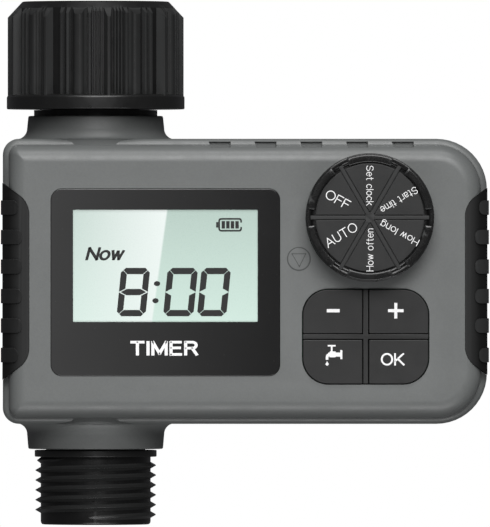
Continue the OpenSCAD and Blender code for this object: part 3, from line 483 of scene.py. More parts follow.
RUBBER = moulded("Grip rubber", tone(26), 0.6, 1800, 0.12, 0.05, 0.35, specular=0.18)
RIB_RUBBER = moulded("Grip rib rubber", tone(20), 0.42, 1800, 0.12, 0.04, 0.35, specular=0.5)


def paint_light_by_place(material, share_of, shade):
    """Mixes a painted shade or painted highlight into a material's colour; share_of gives its share from the
    object's place.
    """
    tree = material.node_tree
    shader = tree.nodes["Principled BSDF"]
    tint = shader.inputs["Base Color"].links[0].from_socket
    share = share_of(tree)
    link(tree, [(mix(tree, share, tint, (*tone(shade), 1)), shader.inputs["Base Color"])])


def split_axes(tree, source):
    parts = tree.nodes.new("ShaderNodeSeparateXYZ")
    link(tree, [(source, parts.inputs["Vector"])])
    return parts.outputs


def away_from(tree, axis, middle):
    """Distance in metres from a plane square to an axis."""
    place = tree.nodes.new("ShaderNodeTexCoord")
    axes = split_axes(tree, place.outputs["Object"])
    return maths(tree, "ABSOLUTE", maths(tree, "SUBTRACT", axes[axis], middle * MM))


def painted_top_highlight(tree):
    """Painted highlight: grows from nothing to 0.55 on faces that look upwards."""
    facing = tree.nodes.new("ShaderNodeNewGeometry")
    return ramp(tree, split_axes(tree, facing.outputs["True Normal"])["Z"], 0.3, 0.7, 0.0, 0.55)


def painted_side_shade(tree):
    """Painted shade: grows from nothing to 0.85 towards the left and right sides of the housing."""
    middle, half = (LEFT + RIGHT) / 2, (RIGHT - LEFT) / 2
    return ramp(tree, away_from(tree, "X", middle), (half - 4.5) * MM, (half - 1.5) * MM, 0.0, 0.85)


def painted_collar_shade(tree):
    """Painted shade: grows from nothing to 0.4 above the housing's top and below its bottom."""
    reach = (TOP - MID_Z) * MM
    return ramp(tree, away_from(tree, "Z", MID_Z), reach + 0.0003, reach + 0.0026, 0.0, 0.4)


# Painted highlight: the grip ribs' upward faces turn lighter, towards grey 120.
paint_light_by_place(RIB_RUBBER, painted_top_highlight, 120)
# Painted shade: the grip pads turn darker towards the housing's sides.
paint_light_by_place(RUBBER, painted_side_shade, 8)
# A copy of the housing grey that carries painted shade on the collars, darker above the housing's top and below
# its bottom.
SHADED_COLLAR_GREY = moulded("Collar grey with painted shade", tone(101, (0.955, 1.0, 0.985)), 0.46, 2600, 0.05, 0.1, 0.22,
                      specular=0.4)
paint_light_by_place(SHADED_COLLAR_GREY, painted_collar_shade, 40)
SEAL = moulded("Seal rubber", tone(30), 0.7, 1500, 0.12, 0.05, 0.3, specular=0.3)
NATURAL = moulded("Natural nylon", tone(214, (1.0, 0.99, 0.93)), 0.45, 1500, 0.06, 0.02, 0.15)
VALVE = moulded("Glass filled nylon", tone(52, (0.97, 1.0, 1.03)), 0.5, 1200, 0.15, 0.1, 0.35)
BOARD = moulded("Solder mask", (0.012, 0.11, 0.04), 0.3, 900, 0.2, 0.02, 0.1, coat=0.4)
PARTS = moulded("Component black", tone(36), 0.45, 1800, 0.1, 0.1, 0.2)
MEMBRANE = moulded("Silicone membrane", tone(84), 0.6, 1500, 0.08, 0.05, 0.2)
MAGNET = moulded("Ferrite", tone(88), 0.55, 900, 0.2, 0.2, 0.4, metallic=0.6)
CABLE = moulded("Lead insulation", (0.25, 0.02, 0.02), 0.4, 2500, 0.1, 0.02, 0.05)


def metal(name, colour, roughness):
    """A drawn or stamped metal with fine lines across it."""
    material, tree, shader, place = start_material(name)
    shader.inputs["Metallic"].default_value = 1.0
    stretch = tree.nodes.new("ShaderNodeMapping")
    stretch.inputs["Scale"].default_value = (1.0, 1.0, 14.0)
    link(tree, [(place, stretch.inputs["Vector"])])
    lines = noise(tree, stretch.outputs["Vector"], 900.0, 3.0, 0.6)
    cloud = noise(tree, place, 120, 4.0)
    dark = (*[c * 0.72 for c in colour], 1)
    tint = mix(tree, ramp(tree, cloud.outputs["Fac"], 0.35, 0.7), (*colour, 1), dark)
    rough = maths(tree, "ADD", ramp(tree, lines.outputs["Fac"], 0.3, 0.7, -0.08, 0.1), roughness)
    link(tree, [(tint, shader.inputs["Base Color"]), (rough, shader.inputs["Roughness"])])
    bump(tree, shader, lines.outputs["Fac"], 0.15, 0.00001)
    return material


STEEL = metal("Zinc plated steel", (0.62, 0.63, 0.64), 0.3)
BRASS = metal("Brass strip", (0.72, 0.52, 0.2), 0.28)


def winding():
    """Enamelled copper turns side by side."""
    material, tree, shader, place = start_material("Copper winding")
    shader.inputs["Metallic"].default_value = 0.9
    turns = tree.nodes.new("ShaderNodeTexWave")
    turns.bands_direction = "X"
    turns.inputs["Scale"].default_value = 900
    link(tree, [(place, turns.inputs["Vector"])])
    tint = mix(tree, turns.outputs["Fac"], (0.22, 0.07, 0.025, 1), (0.62, 0.25, 0.1, 1))
    link(tree, [(tint, shader.inputs["Base Color"])])
    shader.inputs["Roughness"].default_value = 0.32
    bump(tree, shader, turns.outputs["Fac"], 0.5, 0.0001)
    return material


COPPER = winding()


def cell_sleeve():
    """Printed battery sleeve: a dark body with a coloured band towards its terminal."""
    material, tree, shader, place = start_material("Cell sleeve")
    parts = tree.nodes.new("ShaderNodeSeparateXYZ")
    link(tree, [(place, parts.inputs["Vector"])])
    low, high = corners("battery_upper")
    middle = (low.x + high.x) / 2
    side = ramp(tree, parts.outputs["Z"], MID_Z * MM - 0.0001, MID_Z * MM + 0.0001, -1.0, 1.0)
    along = maths(tree, "MULTIPLY", maths(tree, "SUBTRACT", parts.outputs["X"], middle * MM), side)
    band = ramp(tree, along, 0.0119, 0.0121)
    speck = noise(tree, place, 700, 4.0)
    specks = ramp(tree, speck.outputs["Fac"], 0.3, 0.7)
    body = mix(tree, specks, (0.012, 0.013, 0.015, 1), (0.02, 0.021, 0.024, 1))
    tint = mix(tree, band, body, (0.5, 0.23, 0.045, 1))
    link(tree, [(tint, shader.inputs["Base Color"])])
    link(tree, [(ramp(tree, speck.outputs["Fac"], 0.3, 0.7, 0.22, 0.34), shader.inputs["Roughness"])])
    link(tree, [(ramp(tree, along, 0.0241, 0.0242, 0.0, 1.0), shader.inputs["Metallic"])])
    bump(tree, shader, speck.outputs["Fac"], 0.05, 0.00002)
    return material


CELL = cell_sleeve()


def window_gloss():
    """Black printed acrylic with a deep gloss, light dust, a faint drift in its roughness and a painted reflection
    that lightens it towards the left.
    """
    material, tree, shader, place = start_material("Window gloss")
    dust = noise(tree, place, 1500, 2.0, 0.4)
    specks = ramp(tree, dust.outputs["Fac"], 0.74, 0.82)
    parts = tree.nodes.new("ShaderNodeSeparateXYZ")
    link(tree, [(place, parts.inputs["Vector"])])
    # Painted reflection: the black turns lighter towards the left.
    across = ramp(tree, parts.outputs["X"], -0.012, 0.04, 1.0, 0.0)
    base = mix(tree, across, (*tone(29), 1), (*tone(58), 1))
    tint = mix(tree, maths(tree, "MULTIPLY", specks, 0.06), base, (0.3, 0.3, 0.3, 1))
    slow = noise(tree, place, 60, 2.0)
    link(tree, [
        (tint, shader.inputs["Base Color"]),
        (ramp(tree, slow.outputs["Fac"], 0.3, 0.7, 0.1, 0.16), shader.inputs["Roughness"]),
    ])
    bump(tree, shader, dust.outputs["Fac"], 0.02, 0.00001)
    shader.inputs["Coat Weight"].default_value = 0.3
    shader.inputs["Coat Roughness"].default_value = 0.05
    return material


WINDOW = window_gloss()


def lcd_panel(low, high):
    """Display glass: pale green grey, darkened towards its top by painted shade, with a painted slanted sheen on
    its left part and painted shade along its edges.
    """
    material, tree, shader, place = start_material("Display glass")
    parts = tree.nodes.new("ShaderNodeSeparateXYZ")
    link(tree, [(place, parts.inputs["Vector"])])
    x, z = parts.outputs["X"], parts.outputs["Z"]
    # Painted sheen: a slanted lighter band over the left part of the display.
    slant = maths(tree, "SUBTRACT", x, maths(tree, "MULTIPLY", z, 0.136))
    edge = (16.14 - 0.136 * high[1]) * MM
    painted_sheen = ramp(tree, slant, edge + 0.0002, edge - 0.0002)
    fade = ramp(tree, x, low[0] * MM, 16.14 * MM, 0.25, 1.0)
    painted_sheen = maths(tree, "MULTIPLY", painted_sheen, fade)
    # Painted shade: lighter at the bottom of the display, darker towards its top.
    base = mix(tree, ramp(tree, z, low[1] * MM, high[1] * MM), (*tone(224, (0.79, 1.0, 0.9)), 1),
               (*tone(196, (0.79, 1.0, 0.9)), 1))
    lit = mix(tree, painted_sheen, base, (*tone(236, (0.93, 1.0, 0.97)), 1))
    cells = noise(tree, place, 5200, 2.0, 0.5)
    tint = mix(tree, ramp(tree, cells.outputs["Fac"], 0.3, 0.7, 0.0, 0.06), lit, (0.3, 0.36, 0.33, 1))
    # Painted shade along the display's edges, towards grey 120.
    painted_edge_shade = None
    for socket, wall, way in ((x, low[0], 1), (x, high[0], -1), (z, low[1], 1), (z, high[1], -1)):
        inner = ramp(tree, socket, wall * MM, (wall + way * 0.5) * MM, 0.12, 0.0)
        painted_edge_shade = inner if painted_edge_shade is None else maths(tree, "MAXIMUM", painted_edge_shade, inner)
    tint = mix(tree, painted_edge_shade, tint, (*tone(120, (0.9, 1.0, 0.95)), 1))
    link(tree, [(tint, shader.inputs["Base Color"])])
    link(tree, [(ramp(tree, cells.outputs["Fac"], 0.3, 0.7, 0.24, 0.34), shader.inputs["Roughness"])])
    bump(tree, shader, cells.outputs["Fac"], 0.03, 0.00001)
    shader.inputs["Coat Weight"].default_value = 0.2
    shader.inputs["Coat Roughness"].default_value = 0.04
    return material


def print_ink(name, level, roughness=0.45, tint=(1.0, 1.0, 1.0)):
    """Screen printed ink with a slightly uneven cover."""
    material, tree, shader, place = start_material(name)
    cover = noise(tree, place, 4200, 3.0, 0.6)
    colour = mix(tree, ramp(tree, cover.outputs["Fac"], 0.3, 0.75), (*tone(level, tint), 1),
                 (*[c * 0.86 for c in tone(level, tint)], 1))
    link(tree, [(colour, shader.inputs["Base Color"])])
    link(tree, [(ramp(tree, cover.outputs["Fac"], 0.3, 0.7, roughness - 0.06, roughness + 0.06),
                 shader.inputs["Roughness"])])
    bump(tree, shader, cover.outputs["Fac"], 0.1, 0.00001)
    return material


WHITE_INK = print_ink("White print", 252)
LCD_INK = print_ink("Display segment", 20, 0.6, (0.95, 1.0, 0.98))


# ---- Housing ----

def grip_outline(side):
    """Front view corners of a grip and its rounding, as a solid through the whole depth."""
    edge = LEFT if side < 0 else RIGHT
    reach = 5.9 if side < 0 else 4.9
    half = 21.9 if side < 0 else 20.8
    inner_z = half - reach * 0.75
    outer_z = half + 3.0
    inner = edge - side * reach
    outer = edge + side * 4.0
    bm = bmesh.new()
    places = [
        (inner, MID_Z - inner_z), (outer, MID_Z - outer_z),
        (outer, MID_Z + outer_z), (inner, MID_Z + inner_z)]
    verts = [bm.verts.new((x, z, 0)) for x, z in places]
    bm.faces.new(verts)
    soften(bm, [verts[0], verts[3]], 2.4, 8, "VERTICES", False)
    grown = bmesh.ops.extrude_face_region(bm, geom=list(bm.faces))
    tops = [v for v in grown["geom"] if isinstance(v, bmesh.types.BMVert)]
    bmesh.ops.translate(bm, vec=(0, 0, BACK - FRONT + 2), verts=tops)
    recalc(bm)
    return stamp(bm, front_turn(BACK + 1))


def grip_form(depth):
    """The rounded form that the grips follow."""
    return shell_form(FRONT + depth, BACK - depth, 5.2 - depth, BACK_EDGE + 1 - depth, depth)


def scaled_about(bm, centre, factors):
    to_middle = Matrix.Translation(-Vector(centre))
    return stamp(bm, Matrix.Translation(centre) @ Matrix.Diagonal((*factors, 1)) @ to_middle)


def grip_pocket(side, play):
    """What a grip's pocket takes out of the housing."""
    tool = grip_outline(side)
    if play:
        edge = LEFT if side < 0 else RIGHT
        scaled_about(tool, (edge, 0, MID_Z), (1 + play / 5.0, 1, 1 + play / 20.0))
    return carve(tool, grip_form(1.2 + play))


def top_slots():
    """The row of snap slots on the seam's upper edge."""
    parts = []
    for i in range(5):
        x = 27.8 + i * 10.2
        bm = box_solid((x - 2.45, FRONT - 1, TOP - 1.95), (x + 2.45, SEAM + 1.1, TOP - 0.62))
        lower = [v for v in bm.verts if v.co.x < x and v.co.z < TOP - 1]
        bmesh.ops.translate(bm, vec=(0.45, 0, 0), verts=lower)
        parts.append(bm)
    return merged(parts)


def key_place():
    low, high = corners("keypad_frame")
    middle = (low + high) / 2
    return middle.x, middle.z


SCREWS = []
for side_x, rows in ((LEFT + 4.8, 5.8), (LEFT + 50.6, 5.8), (RIGHT - 8.8, 8.8)):
    SCREWS += [(side_x, TOP - rows), (side_x, BOTTOM + rows)]


def cover_tools():
    """All that is cut out of the front cover."""
    parts = []
    gap = 0.08
    low = (WIN_LOW.x - gap, WIN_LOW.z - gap)
    high = (WIN_HIGH.x + gap, WIN_HIGH.z + gap)
    cut = plate(low, high, (2.5 + gap,) * 4, 6)
    parts.append(stamp(cut, front_turn(FRONT + 1.5)))
    x, z = key_place()
    cut = plate((x - 14.2, z - 10.7), (x + 14.2, z + 10.7), (5.9,) * 4, 8)
    parts.append(stamp(cut, front_turn(FRONT + 4)))
    dial = joint_point("dial_turn")
    hole = rod(3.08, -4, 4)
    parts.append(stamp(hole, shift(dial.x, FRONT, dial.z) @ round_x(90)))
    return merged(parts)


def front_cover():
    form = shell_form(FRONT, SEAM, COVER_EDGE, 0.0, RIM_STEP)
    inner = plate(
        (LEFT + RIM_STEP + 1.8, BOTTOM + RIM_STEP + 1.8), (RIGHT - RIM_STEP - 1.8, TOP - RIM_STEP - 1.8),
        (0.6, 8.1, 8.1, 0.6), 5)
    stamp(inner, front_turn(SEAM + 2.5))
    bm = carve(form, inner)
    bm = carve(bm, cover_tools())
    bm = carve(bm, top_slots())
    for side in (-1, 1):
        bm = carve(bm, grip_pocket(side, 0.1))
    piece = finish(bm, "cover_shell", GREY, "housing", sharp=30)
    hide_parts("front_cover")
    return piece


def rear_housing():
    form = shell_form(SEAM, BACK, RIM_STEP, BACK_EDGE, 0.0)
    inner = plate(
        (LEFT + WALL, BOTTOM + WALL), (RIGHT - WALL, TOP - WALL), (0.6, 8.3, 8.3, 0.6),
        INNER_BACK - SEAM + 2)
    stamp(inner, front_turn(INNER_BACK))
    bm = carve(form, inner)
    low, high = corners("battery_tray")
    opening = box_solid(
        (RIGHT - WALL - 1, low.y - 0.4, low.z - 0.4), (RIGHT + 1, INNER_BACK, high.z + 0.4))
    bm = carve(bm, opening)
    bm = carve(bm, top_slots())
    bm = carve(bm, rod(10.1, COLLAR_LOW - 2, COLLAR_TOP + 2, 96))
    for side in (-1, 1):
        bm = carve(bm, grip_pocket(side, 0.1))
    wells = []
    for x, z in SCREWS:
        well = rod(2.6, -(BACK + 1), -(FRONT + 15), 40)
        wells.append(stamp(well, shift(x, 0, z) @ round_x(90)))
    bm = carve(bm, merged(wells))
    piece = finish(bm, "rear_shell", GREY, "housing", sharp=30)
    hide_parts("rear_housing")
    return piece


def screw_wells():
    """Sleeves that line the wells of the housing screws."""
    parts = []
    for x, z in SCREWS:
        sleeve = turned(
            [(1.6, -(FRONT + 15)), (2.6, -(FRONT + 15)), (2.6, -(BACK - 0.6)),
             (3.4, -(BACK - 0.6)), (3.4, -SEAM), (1.6, -SEAM)], 32)
        parts.append(stamp(sleeve, shift(x, 0, z) @ round_x(90)))
    finish(merged(parts), "screw_wells", GREY, "housing")


def collar(name, base, tip):
    """The collar around a spigot, with a fillet onto the housing that tightens towards the seam."""
    rise = 1 if tip > base else -1
    fillet = 2.4
    radius = 15.35
    profile = [(10.1, base - rise * 2), (10.1, tip - rise * 0.25), (10.35, tip), (radius - 0.6, tip)]
    for i in range(1, 5):
        turn = math.radians(90 * i / 4)
        profile.append((radius - 0.6 + 0.35 * math.sin(turn), tip - rise * 0.35 * (1 - math.cos(turn))))
    for i in range(13):
        turn = math.radians(90 * i / 12)
        out = fillet * (1 - math.cos(turn))
        up = rise * fillet * (1 - math.sin(turn))
        profile.append((radius + out, base + up))
    profile.append((radius + fillet - 0.9, base - rise * 0.5))
    profile.append((radius + fillet - 0.9, base - rise * 2))
    bm = turned(profile, 160)
    room = 0.9 - SEAM - radius
    for vert in bm.verts:
        across = math.hypot(vert.co.x, vert.co.y)
        if vert.co.y < 0 and across > radius:
            ahead = (vert.co.y / across) ** 2
            wanted = radius + (across - radius) * (1 - ahead * (1 - room / fillet))
            vert.co.x *= wanted / across
            vert.co.y *= wanted / across
    return finish(bm, name, SHADED_COLLAR_GREY, "housing", sharp=40)


def pointer_mark():
    """A round pad with a triangle that the dial is read against."""
    x, z = 45.43, -43.6
    pad = turned([(0, 0.1), (2.35, 0.1), (2.45, 0.02), (2.45, -0.3), (0, -0.3)], 64)
    stamp(pad, shift(x, z, 0))
    finish(stamp(pad, front_turn(FRONT)), "pointer_pad", GREY, "housing")
    ring = turned([(2.43, -0.1), (2.43, 0.03), (2.67, 0.03), (2.67, -0.1)], 64)
    stamp(ring, shift(x, z, 0))
    lines = [ring]
    tips = [Vector((-1.55, 1.15)), Vector((1.55, 1.15)), Vector((0.1, -1.7))]
    for i in range(3):
        a, b = tips[i], tips[(i + 1) % 3]
        bar = box_solid((-0.08, -0.08, 0.05), ((b - a).length + 0.08, 0.08, 0.13))
        turn = Matrix.Rotation(math.atan2((b - a).y, (b - a).x), 4, "Z")
        lines.append(stamp(bar, shift(x + a.x, z + a.y, 0) @ turn))
    # The lines stand slightly proud and carry painted shade that stands in for engraved grooves.
    bm = stamp(merged(lines), front_turn(FRONT))
    return finish(bm, "pointer_lines", GROOVE_SHADE, "housing", weighted=False)


# ---- Grips ----

def grip(side, name, body, node):
    """A rubber grip in its pocket, with six ribs wrapped round the housing's side."""
    edge = LEFT if side < 0 else RIGHT
    pad = carve(grip_outline(side), grip_form(-0.08), "INTERSECT")
    pad = carve(pad, grip_form(1.2))
    ribs = []
    for i in range(6):
        short = 0.9 if i in (0, 5) else 0.0
        reach = (4.3 if side < 0 else 2.7) - short
        z = MID_Z + (i - 2.5) * 6.58
        bar = box_solid(
            (min(edge - side * reach, edge + side * 2), FRONT - 1, z - 1.6),
            (max(edge - side * reach, edge + side * 2), BACK + 1, z + 1.6))
        upright = [e for e in bar.edges if abs(e.verts[0].co.y - e.verts[1].co.y) > 1]
        inner = [e for e in upright if abs(e.verts[0].co.x - (edge - side * reach)) < 1e-4]
        soften(bar, inner, 1.2, 6)
        ribs.append(bar)
    bars = carve(merged(ribs), grip_form(-0.42), "INTERSECT")
    bars = carve(bars, grip_form(0.6))
    sharp = [e for e in bars.edges if len(e.link_faces) == 2 and e.calc_face_angle(0) > math.radians(50)
             and all(f.calc_area() > 0.001 for f in e.link_faces)]
    soften(bars, sharp, 0.3, 3)
    for bm, label, material in ((pad, "pad", RUBBER), (bars, "ribs", RIB_RUBBER)):
        piece = finish(bm, "grip_" + label + "_" + name, material, body, sharp=45)
        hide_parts(node)


# ---- Inlet nut and outlet ----

THREAD_PITCH = 2.209
THREAD_CREST, THREAD_ROOT = 13.5, 12.3
NUT_CREST, NUT_ROOT = 12.45, 13.65
FLANGE_R = 13.65


def helix(root, crest, z_top, turns, start, half):
    """A right-handed thread ridge that winds down from z_top, faded at both ends."""
    per_turn = 72
    taper = 24
    pitch = THREAD_PITCH
    steps = int(turns * per_turn)
    inside = root - 0.3 if crest > root else root + 0.3
    bm = bmesh.new()
    profile = [(inside, -half - 0.2), (crest - 0.06 * (1 if crest > root else -1), -0.1), (crest, 0),
               (crest - 0.06 * (1 if crest > root else -1), 0.1), (inside, half + 0.2)]
    verts = [bm.verts.new((r, 0, z)) for r, z in profile]
    face = bm.faces.new(verts)
    bmesh.ops.spin(
        bm, geom=[face], cent=(0, 0, 0), axis=(0, 0, 1), dvec=(0, 0, -pitch / per_turn),
        angle=-TAU * steps / per_turn, steps=steps, use_merge=False, use_duplicate=False)
    bm.verts.index_update()
    total = pitch * turns
    for vert in bm.verts:
        radius = math.hypot(vert.co.x, vert.co.y)
        angle = -math.atan2(vert.co.y, vert.co.x) % TAU
        level = min(
            (abs(vert.co.z + pitch * (k + angle / TAU)), k + angle / TAU)
            for k in range(-1, int(turns) + 2))[1]
        down = min(level, total / pitch - level) * per_turn
        share = min(max(down / taper, 0.0), 1.0)
        wanted = inside + (radius - inside) * (0.15 + 0.85 * math.sin(share * math.pi / 2))
        if radius > 1e-6:
            vert.co.x *= wanted / radius
            vert.co.y *= wanted / radius
    recalc(bm)
    return stamp(bm, shift(0, 0, z_top) @ round_z(start))


NUT_LOW = corners("inlet_nut")[0].z
NUT_HIGH = corners("inlet_nut")[1].z

NUT_TURN = 9.2
NUT_CORE = 17.75
NUT_TOP_R = 16.35
NUT_FLANGE_TOP = NUT_LOW + 3.25

# Ribs of each kind: width at the root, width at the crest, radius of the crest
RIB_KINDS = {
    "thin": (0.5, 0.34, 18.55),
    "narrow": (0.95, 0.66, 18.9),
    "wide": (3.5, 2.3, 19.15),
    "tall": (1.75, 0.8, 19.68)}
# Places of the ribs to either side of each tall one, in degrees
RIB_PLACES = (
    (4.9, "thin"), (7.2, "thin"), (9.6, "thin"), (12.9, "narrow"), (20.6, "wide"), (28.2, "narrow"),
    (32.9, "narrow"), (43.8, "tall"), (48.4, "thin"), (51.2, "thin"), (57.6, "wide"), (65.0, "narrow"),
    (69.6, "narrow"), (80.2, "tall"), (85.6, "thin"))


def nut_cone(radius):
    """Height of the nut's bevelled top at a radius."""
    return NUT_HIGH - (radius - NUT_TOP_R) * 1.08


def nut_rib(kind):
    """One rib on +X that narrows outwards, its top cut by the bevel."""
    root, crest, reach = RIB_KINDS[kind]
    low = NUT_FLANGE_TOP - (0.45 if kind == "tall" else 0.1)
    inside = NUT_CORE - 0.6
    bm = box_solid((inside, -crest / 2, low), (reach, crest / 2, NUT_HIGH))
    edges = [e for e in bm.edges if all(v.co.x > reach - 0.01 for v in e.verts) and
             abs(e.verts[0].co.z - e.verts[1].co.z) > 1]
    share, steps = (0.4, 5) if kind == "wide" else (0.25, 3)
    soften(bm, edges, crest * share, steps)
    for vert in bm.verts:
        if vert.co.x < inside + 0.01:
            vert.co.y *= root / crest * 1.15
        if vert.co.z > 0:
            vert.co.z = nut_cone(math.hypot(vert.co.x, vert.co.y))
    return bm


def inlet_nut():
    skin = rounded(
        [(10.1, NUT_LOW), (19.9, NUT_LOW), (19.9, NUT_FLANGE_TOP - 0.45), (19.3, NUT_FLANGE_TOP),
         (NUT_CORE, NUT_FLANGE_TOP + 0.1), (NUT_CORE, nut_cone(NUT_CORE)), (NUT_TOP_R, NUT_HIGH),
         (14.3, NUT_HIGH), (NUT_ROOT, NUT_HIGH - 1.0), (NUT_ROOT, -0.6), (12.8, -0.6), (12.8, -5.1),
         (10.1, -5.1)],
        0.3, (1, 2, 3, 6, 7), 4)
    core = finish(turned(skin, 180), "nut_core", SHADE_BLACK, "nut", sharp=32)
    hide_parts("inlet_nut")
    parts = [helix(NUT_ROOT, NUT_CREST, 12.1, 5.3, 90, 0.75)]
    places = [(0, "tall")] + [(side * angle, kind) for side in (-1, 1) for angle, kind in RIB_PLACES]
    for half in (0, 180):
        for angle, kind in places:
            place = round_z(-90 + NUT_TURN + angle + half)
            parts.append(stamp(nut_rib(kind), place))
    piece = finish(merged(parts), "nut_ribs", BLACK, "nut", sharp=32)
    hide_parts("inlet_nut")
    return piece


def outlet():
    end = corners("outlet_spigot")[0].z
    ring_top = COLLAR_LOW - 0.25
    ring_low = ring_top - 1.5
    root = THREAD_ROOT
    profile = rounded(
        [(9.0, end), (11.9, end), (12.2, end + 0.3), (root, end + 0.7), (root, ring_low),
         (FLANGE_R, ring_low), (FLANGE_R, ring_top), (11.1, ring_top),
         (11.1, COLLAR_LOW), (10.0, COLLAR_LOW), (10.0, COLLAR_LOW + 12),
         (7.4, COLLAR_LOW + 12), (7.4, COLLAR_LOW + 2), (9.0, COLLAR_LOW)],
        0.22, (0, 1, 5, 6), 3)
    ridge = helix(root, THREAD_CREST, ring_low - 0.45, 5.95, 240, 0.72)
    whole = merged([turned(profile, 144), ridge])
    piece = finish(whole, "threaded_outlet", THREAD, "housing", sharp=40)
    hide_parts("outlet_spigot")
    return piece


# ---- Window and display ----

WIN_LOW, WIN_HIGH = [corner - Vector((0, 0, 0.22)) for corner in corners("display_window")]
LCD_LOW = (WIN_LOW.x + 4.9, WIN_LOW.z + 12.0)
LCD_HIGH = (WIN_HIGH.x - 4.9, WIN_HIGH.z - 4.6)
LCD = lcd_panel(LCD_LOW, LCD_HIGH)


def window():
    """The glossy black window with a shallow opening over the display."""
    bm = plate((WIN_LOW.x, WIN_LOW.z), (WIN_HIGH.x, WIN_HIGH.z), (2.5,) * 4, 1.4, 0.18)
    hole = plate(LCD_LOW, LCD_HIGH, (0.25,) * 4, 2, steps=3)
    stamp(hole, shift(0, 0, 1.4 - 0.35))
    bm = carve(bm, hole)
    stamp(bm, front_turn(WIN_HIGH.y))
    piece = finish(bm, "window_mask", WINDOW, "housing", sharp=30)
    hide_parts("display_window")
    glass = plate(
        (LCD_LOW[0] + 0.02, LCD_LOW[1] + 0.02), (LCD_HIGH[0] - 0.02, LCD_HIGH[1] - 0.02),
        (0.24,) * 4, 0.16, 0.04, steps=3)
    stamp(glass, front_turn(WIN_HIGH.y - 1.0))
    finish(glass, "display_glass", LCD, "housing", sharp=30)
    return piece


LCD_FACE = WIN_HIGH.y - 1.0 - 0.16 - 0.01


def segment(low, high, cuts):
    """One display segment with a straight cut at each corner, from the lower left one anticlockwise."""
    return plate(low, high, cuts, 0.03, steps=1)


SHOWN = {"8": "abcdefg", "0": "abcdef"}


def digit(which, x, z, width, height, stroke):
    """A seven-segment digit with its lower left corner at x, z."""
    gap, middle = 0.12, height / 2
    tip, root = 0.34 * stroke, 0.64 * stroke
    inner, outer = stroke, width - stroke
    top, low = height - tip - gap, tip + gap
    places = {
        "a": ((low, height - stroke), (width - low, height), (root, root, tip, tip)),
        "d": ((low, 0), (width - low, stroke), (tip, tip, root, root)),
        "f": ((0, middle + gap / 2), (inner, top), (0, 0, root, tip)),
        "b": ((outer, middle + gap / 2), (width, top), (0, 0, tip, root)),
        "e": ((0, low), (inner, middle - gap / 2), (tip, root, 0, 0)),
        "c": ((outer, low), (width, middle - gap / 2), (root, tip, 0, 0)),
        "g": ((0.75 * stroke, middle - stroke / 2), (width - 0.75 * stroke, middle + stroke / 2),
              (0.49 * stroke,) * 4)}
    parts = []
    for name in SHOWN[which]:
        bar = segment(*places[name])
        for vert in bar.verts:
            off = vert.co.y - middle
            side = 1 if vert.co.x > width / 2 else -1
            if name == "g" and abs(off) < 0.05 * stroke:
                vert.co.x += side * 0.45 * stroke
            elif name != "g" and abs(off) < gap and inner - 0.01 < vert.co.x < outer + 0.01:
                vert.co.y += math.copysign(0.52 * stroke, off)
        parts.append(bar)
    bm = merged(parts)
    for vert in bm.verts:
        vert.co.x += (vert.co.y - height / 2) * 0.1
    return stamp(bm, shift(x, z, 0))


def clock_digits():
    """The time shown on the display."""
    parts = [
        digit("8", 5.35, -56.35, 6.45, 10.75, 1.38),
        digit("0", 15.7, -56.35, 6.75, 10.75, 1.38),
        digit("0", 23.25, -56.35, 6.55, 10.75, 1.38)]
    for x, z in ((13.85, -49.1), (13.5, -52.9)):
        dot = stamp(rod(0.6, 0, 0.03, 28), Matrix.Diagonal((1.15, 0.92, 1, 1)))
        parts.append(stamp(dot, shift(x, z, 0)))
    bm = stamp(merged(parts), front_turn(LCD_FACE))
    return finish(bm, "clock_digits", LCD_INK, "housing", weighted=False)


def battery_sign():
    """The battery level sign, its terminal to the left and its right side open in the middle."""
    low, high = (27.5, -37.5), (32.75, -34.5)
    stroke = 0.36
    ring = plate(low, high, (0.6,) * 4, 0.03, steps=4)
    room = plate(
        (low[0] + stroke, low[1] + stroke), (high[0] - stroke, high[1] - stroke),
        (0.3,) * 4, 1, steps=3)
    ring = carve(ring, stamp(room, shift(0, 0, -0.5)))
    ring = carve(ring, box_solid((high[0] - 0.5, low[1] + 1.0, -1), (high[0] + 1, high[1] - 1.0, 1)))
    parts = [ring, box_solid((low[0] - 0.5, low[1] + 0.9, 0), (low[0] - 0.02, high[1] - 0.9, 0.03))]
    for i in range(4):
        x = low[0] + 0.72 + i * 1.02
        parts.append(box_solid((x, low[1] + 0.68, 0), (x + 0.76, high[1] - 0.68, 0.03)))
    bm = stamp(merged(parts), front_turn(LCD_FACE))
    return finish(bm, "battery_sign", LCD_INK, "housing", weighted=False)


def bow(x, y, wide, tall, start, end):
    """Points of an arc, angles in degrees."""
    steps = max(3, int(abs(end - start) / 15))
    turns = [math.radians(start + (end - start) * i / steps) for i in range(steps + 1)]
    return [(x + wide * math.cos(a), y + tall * math.sin(a)) for a in turns]


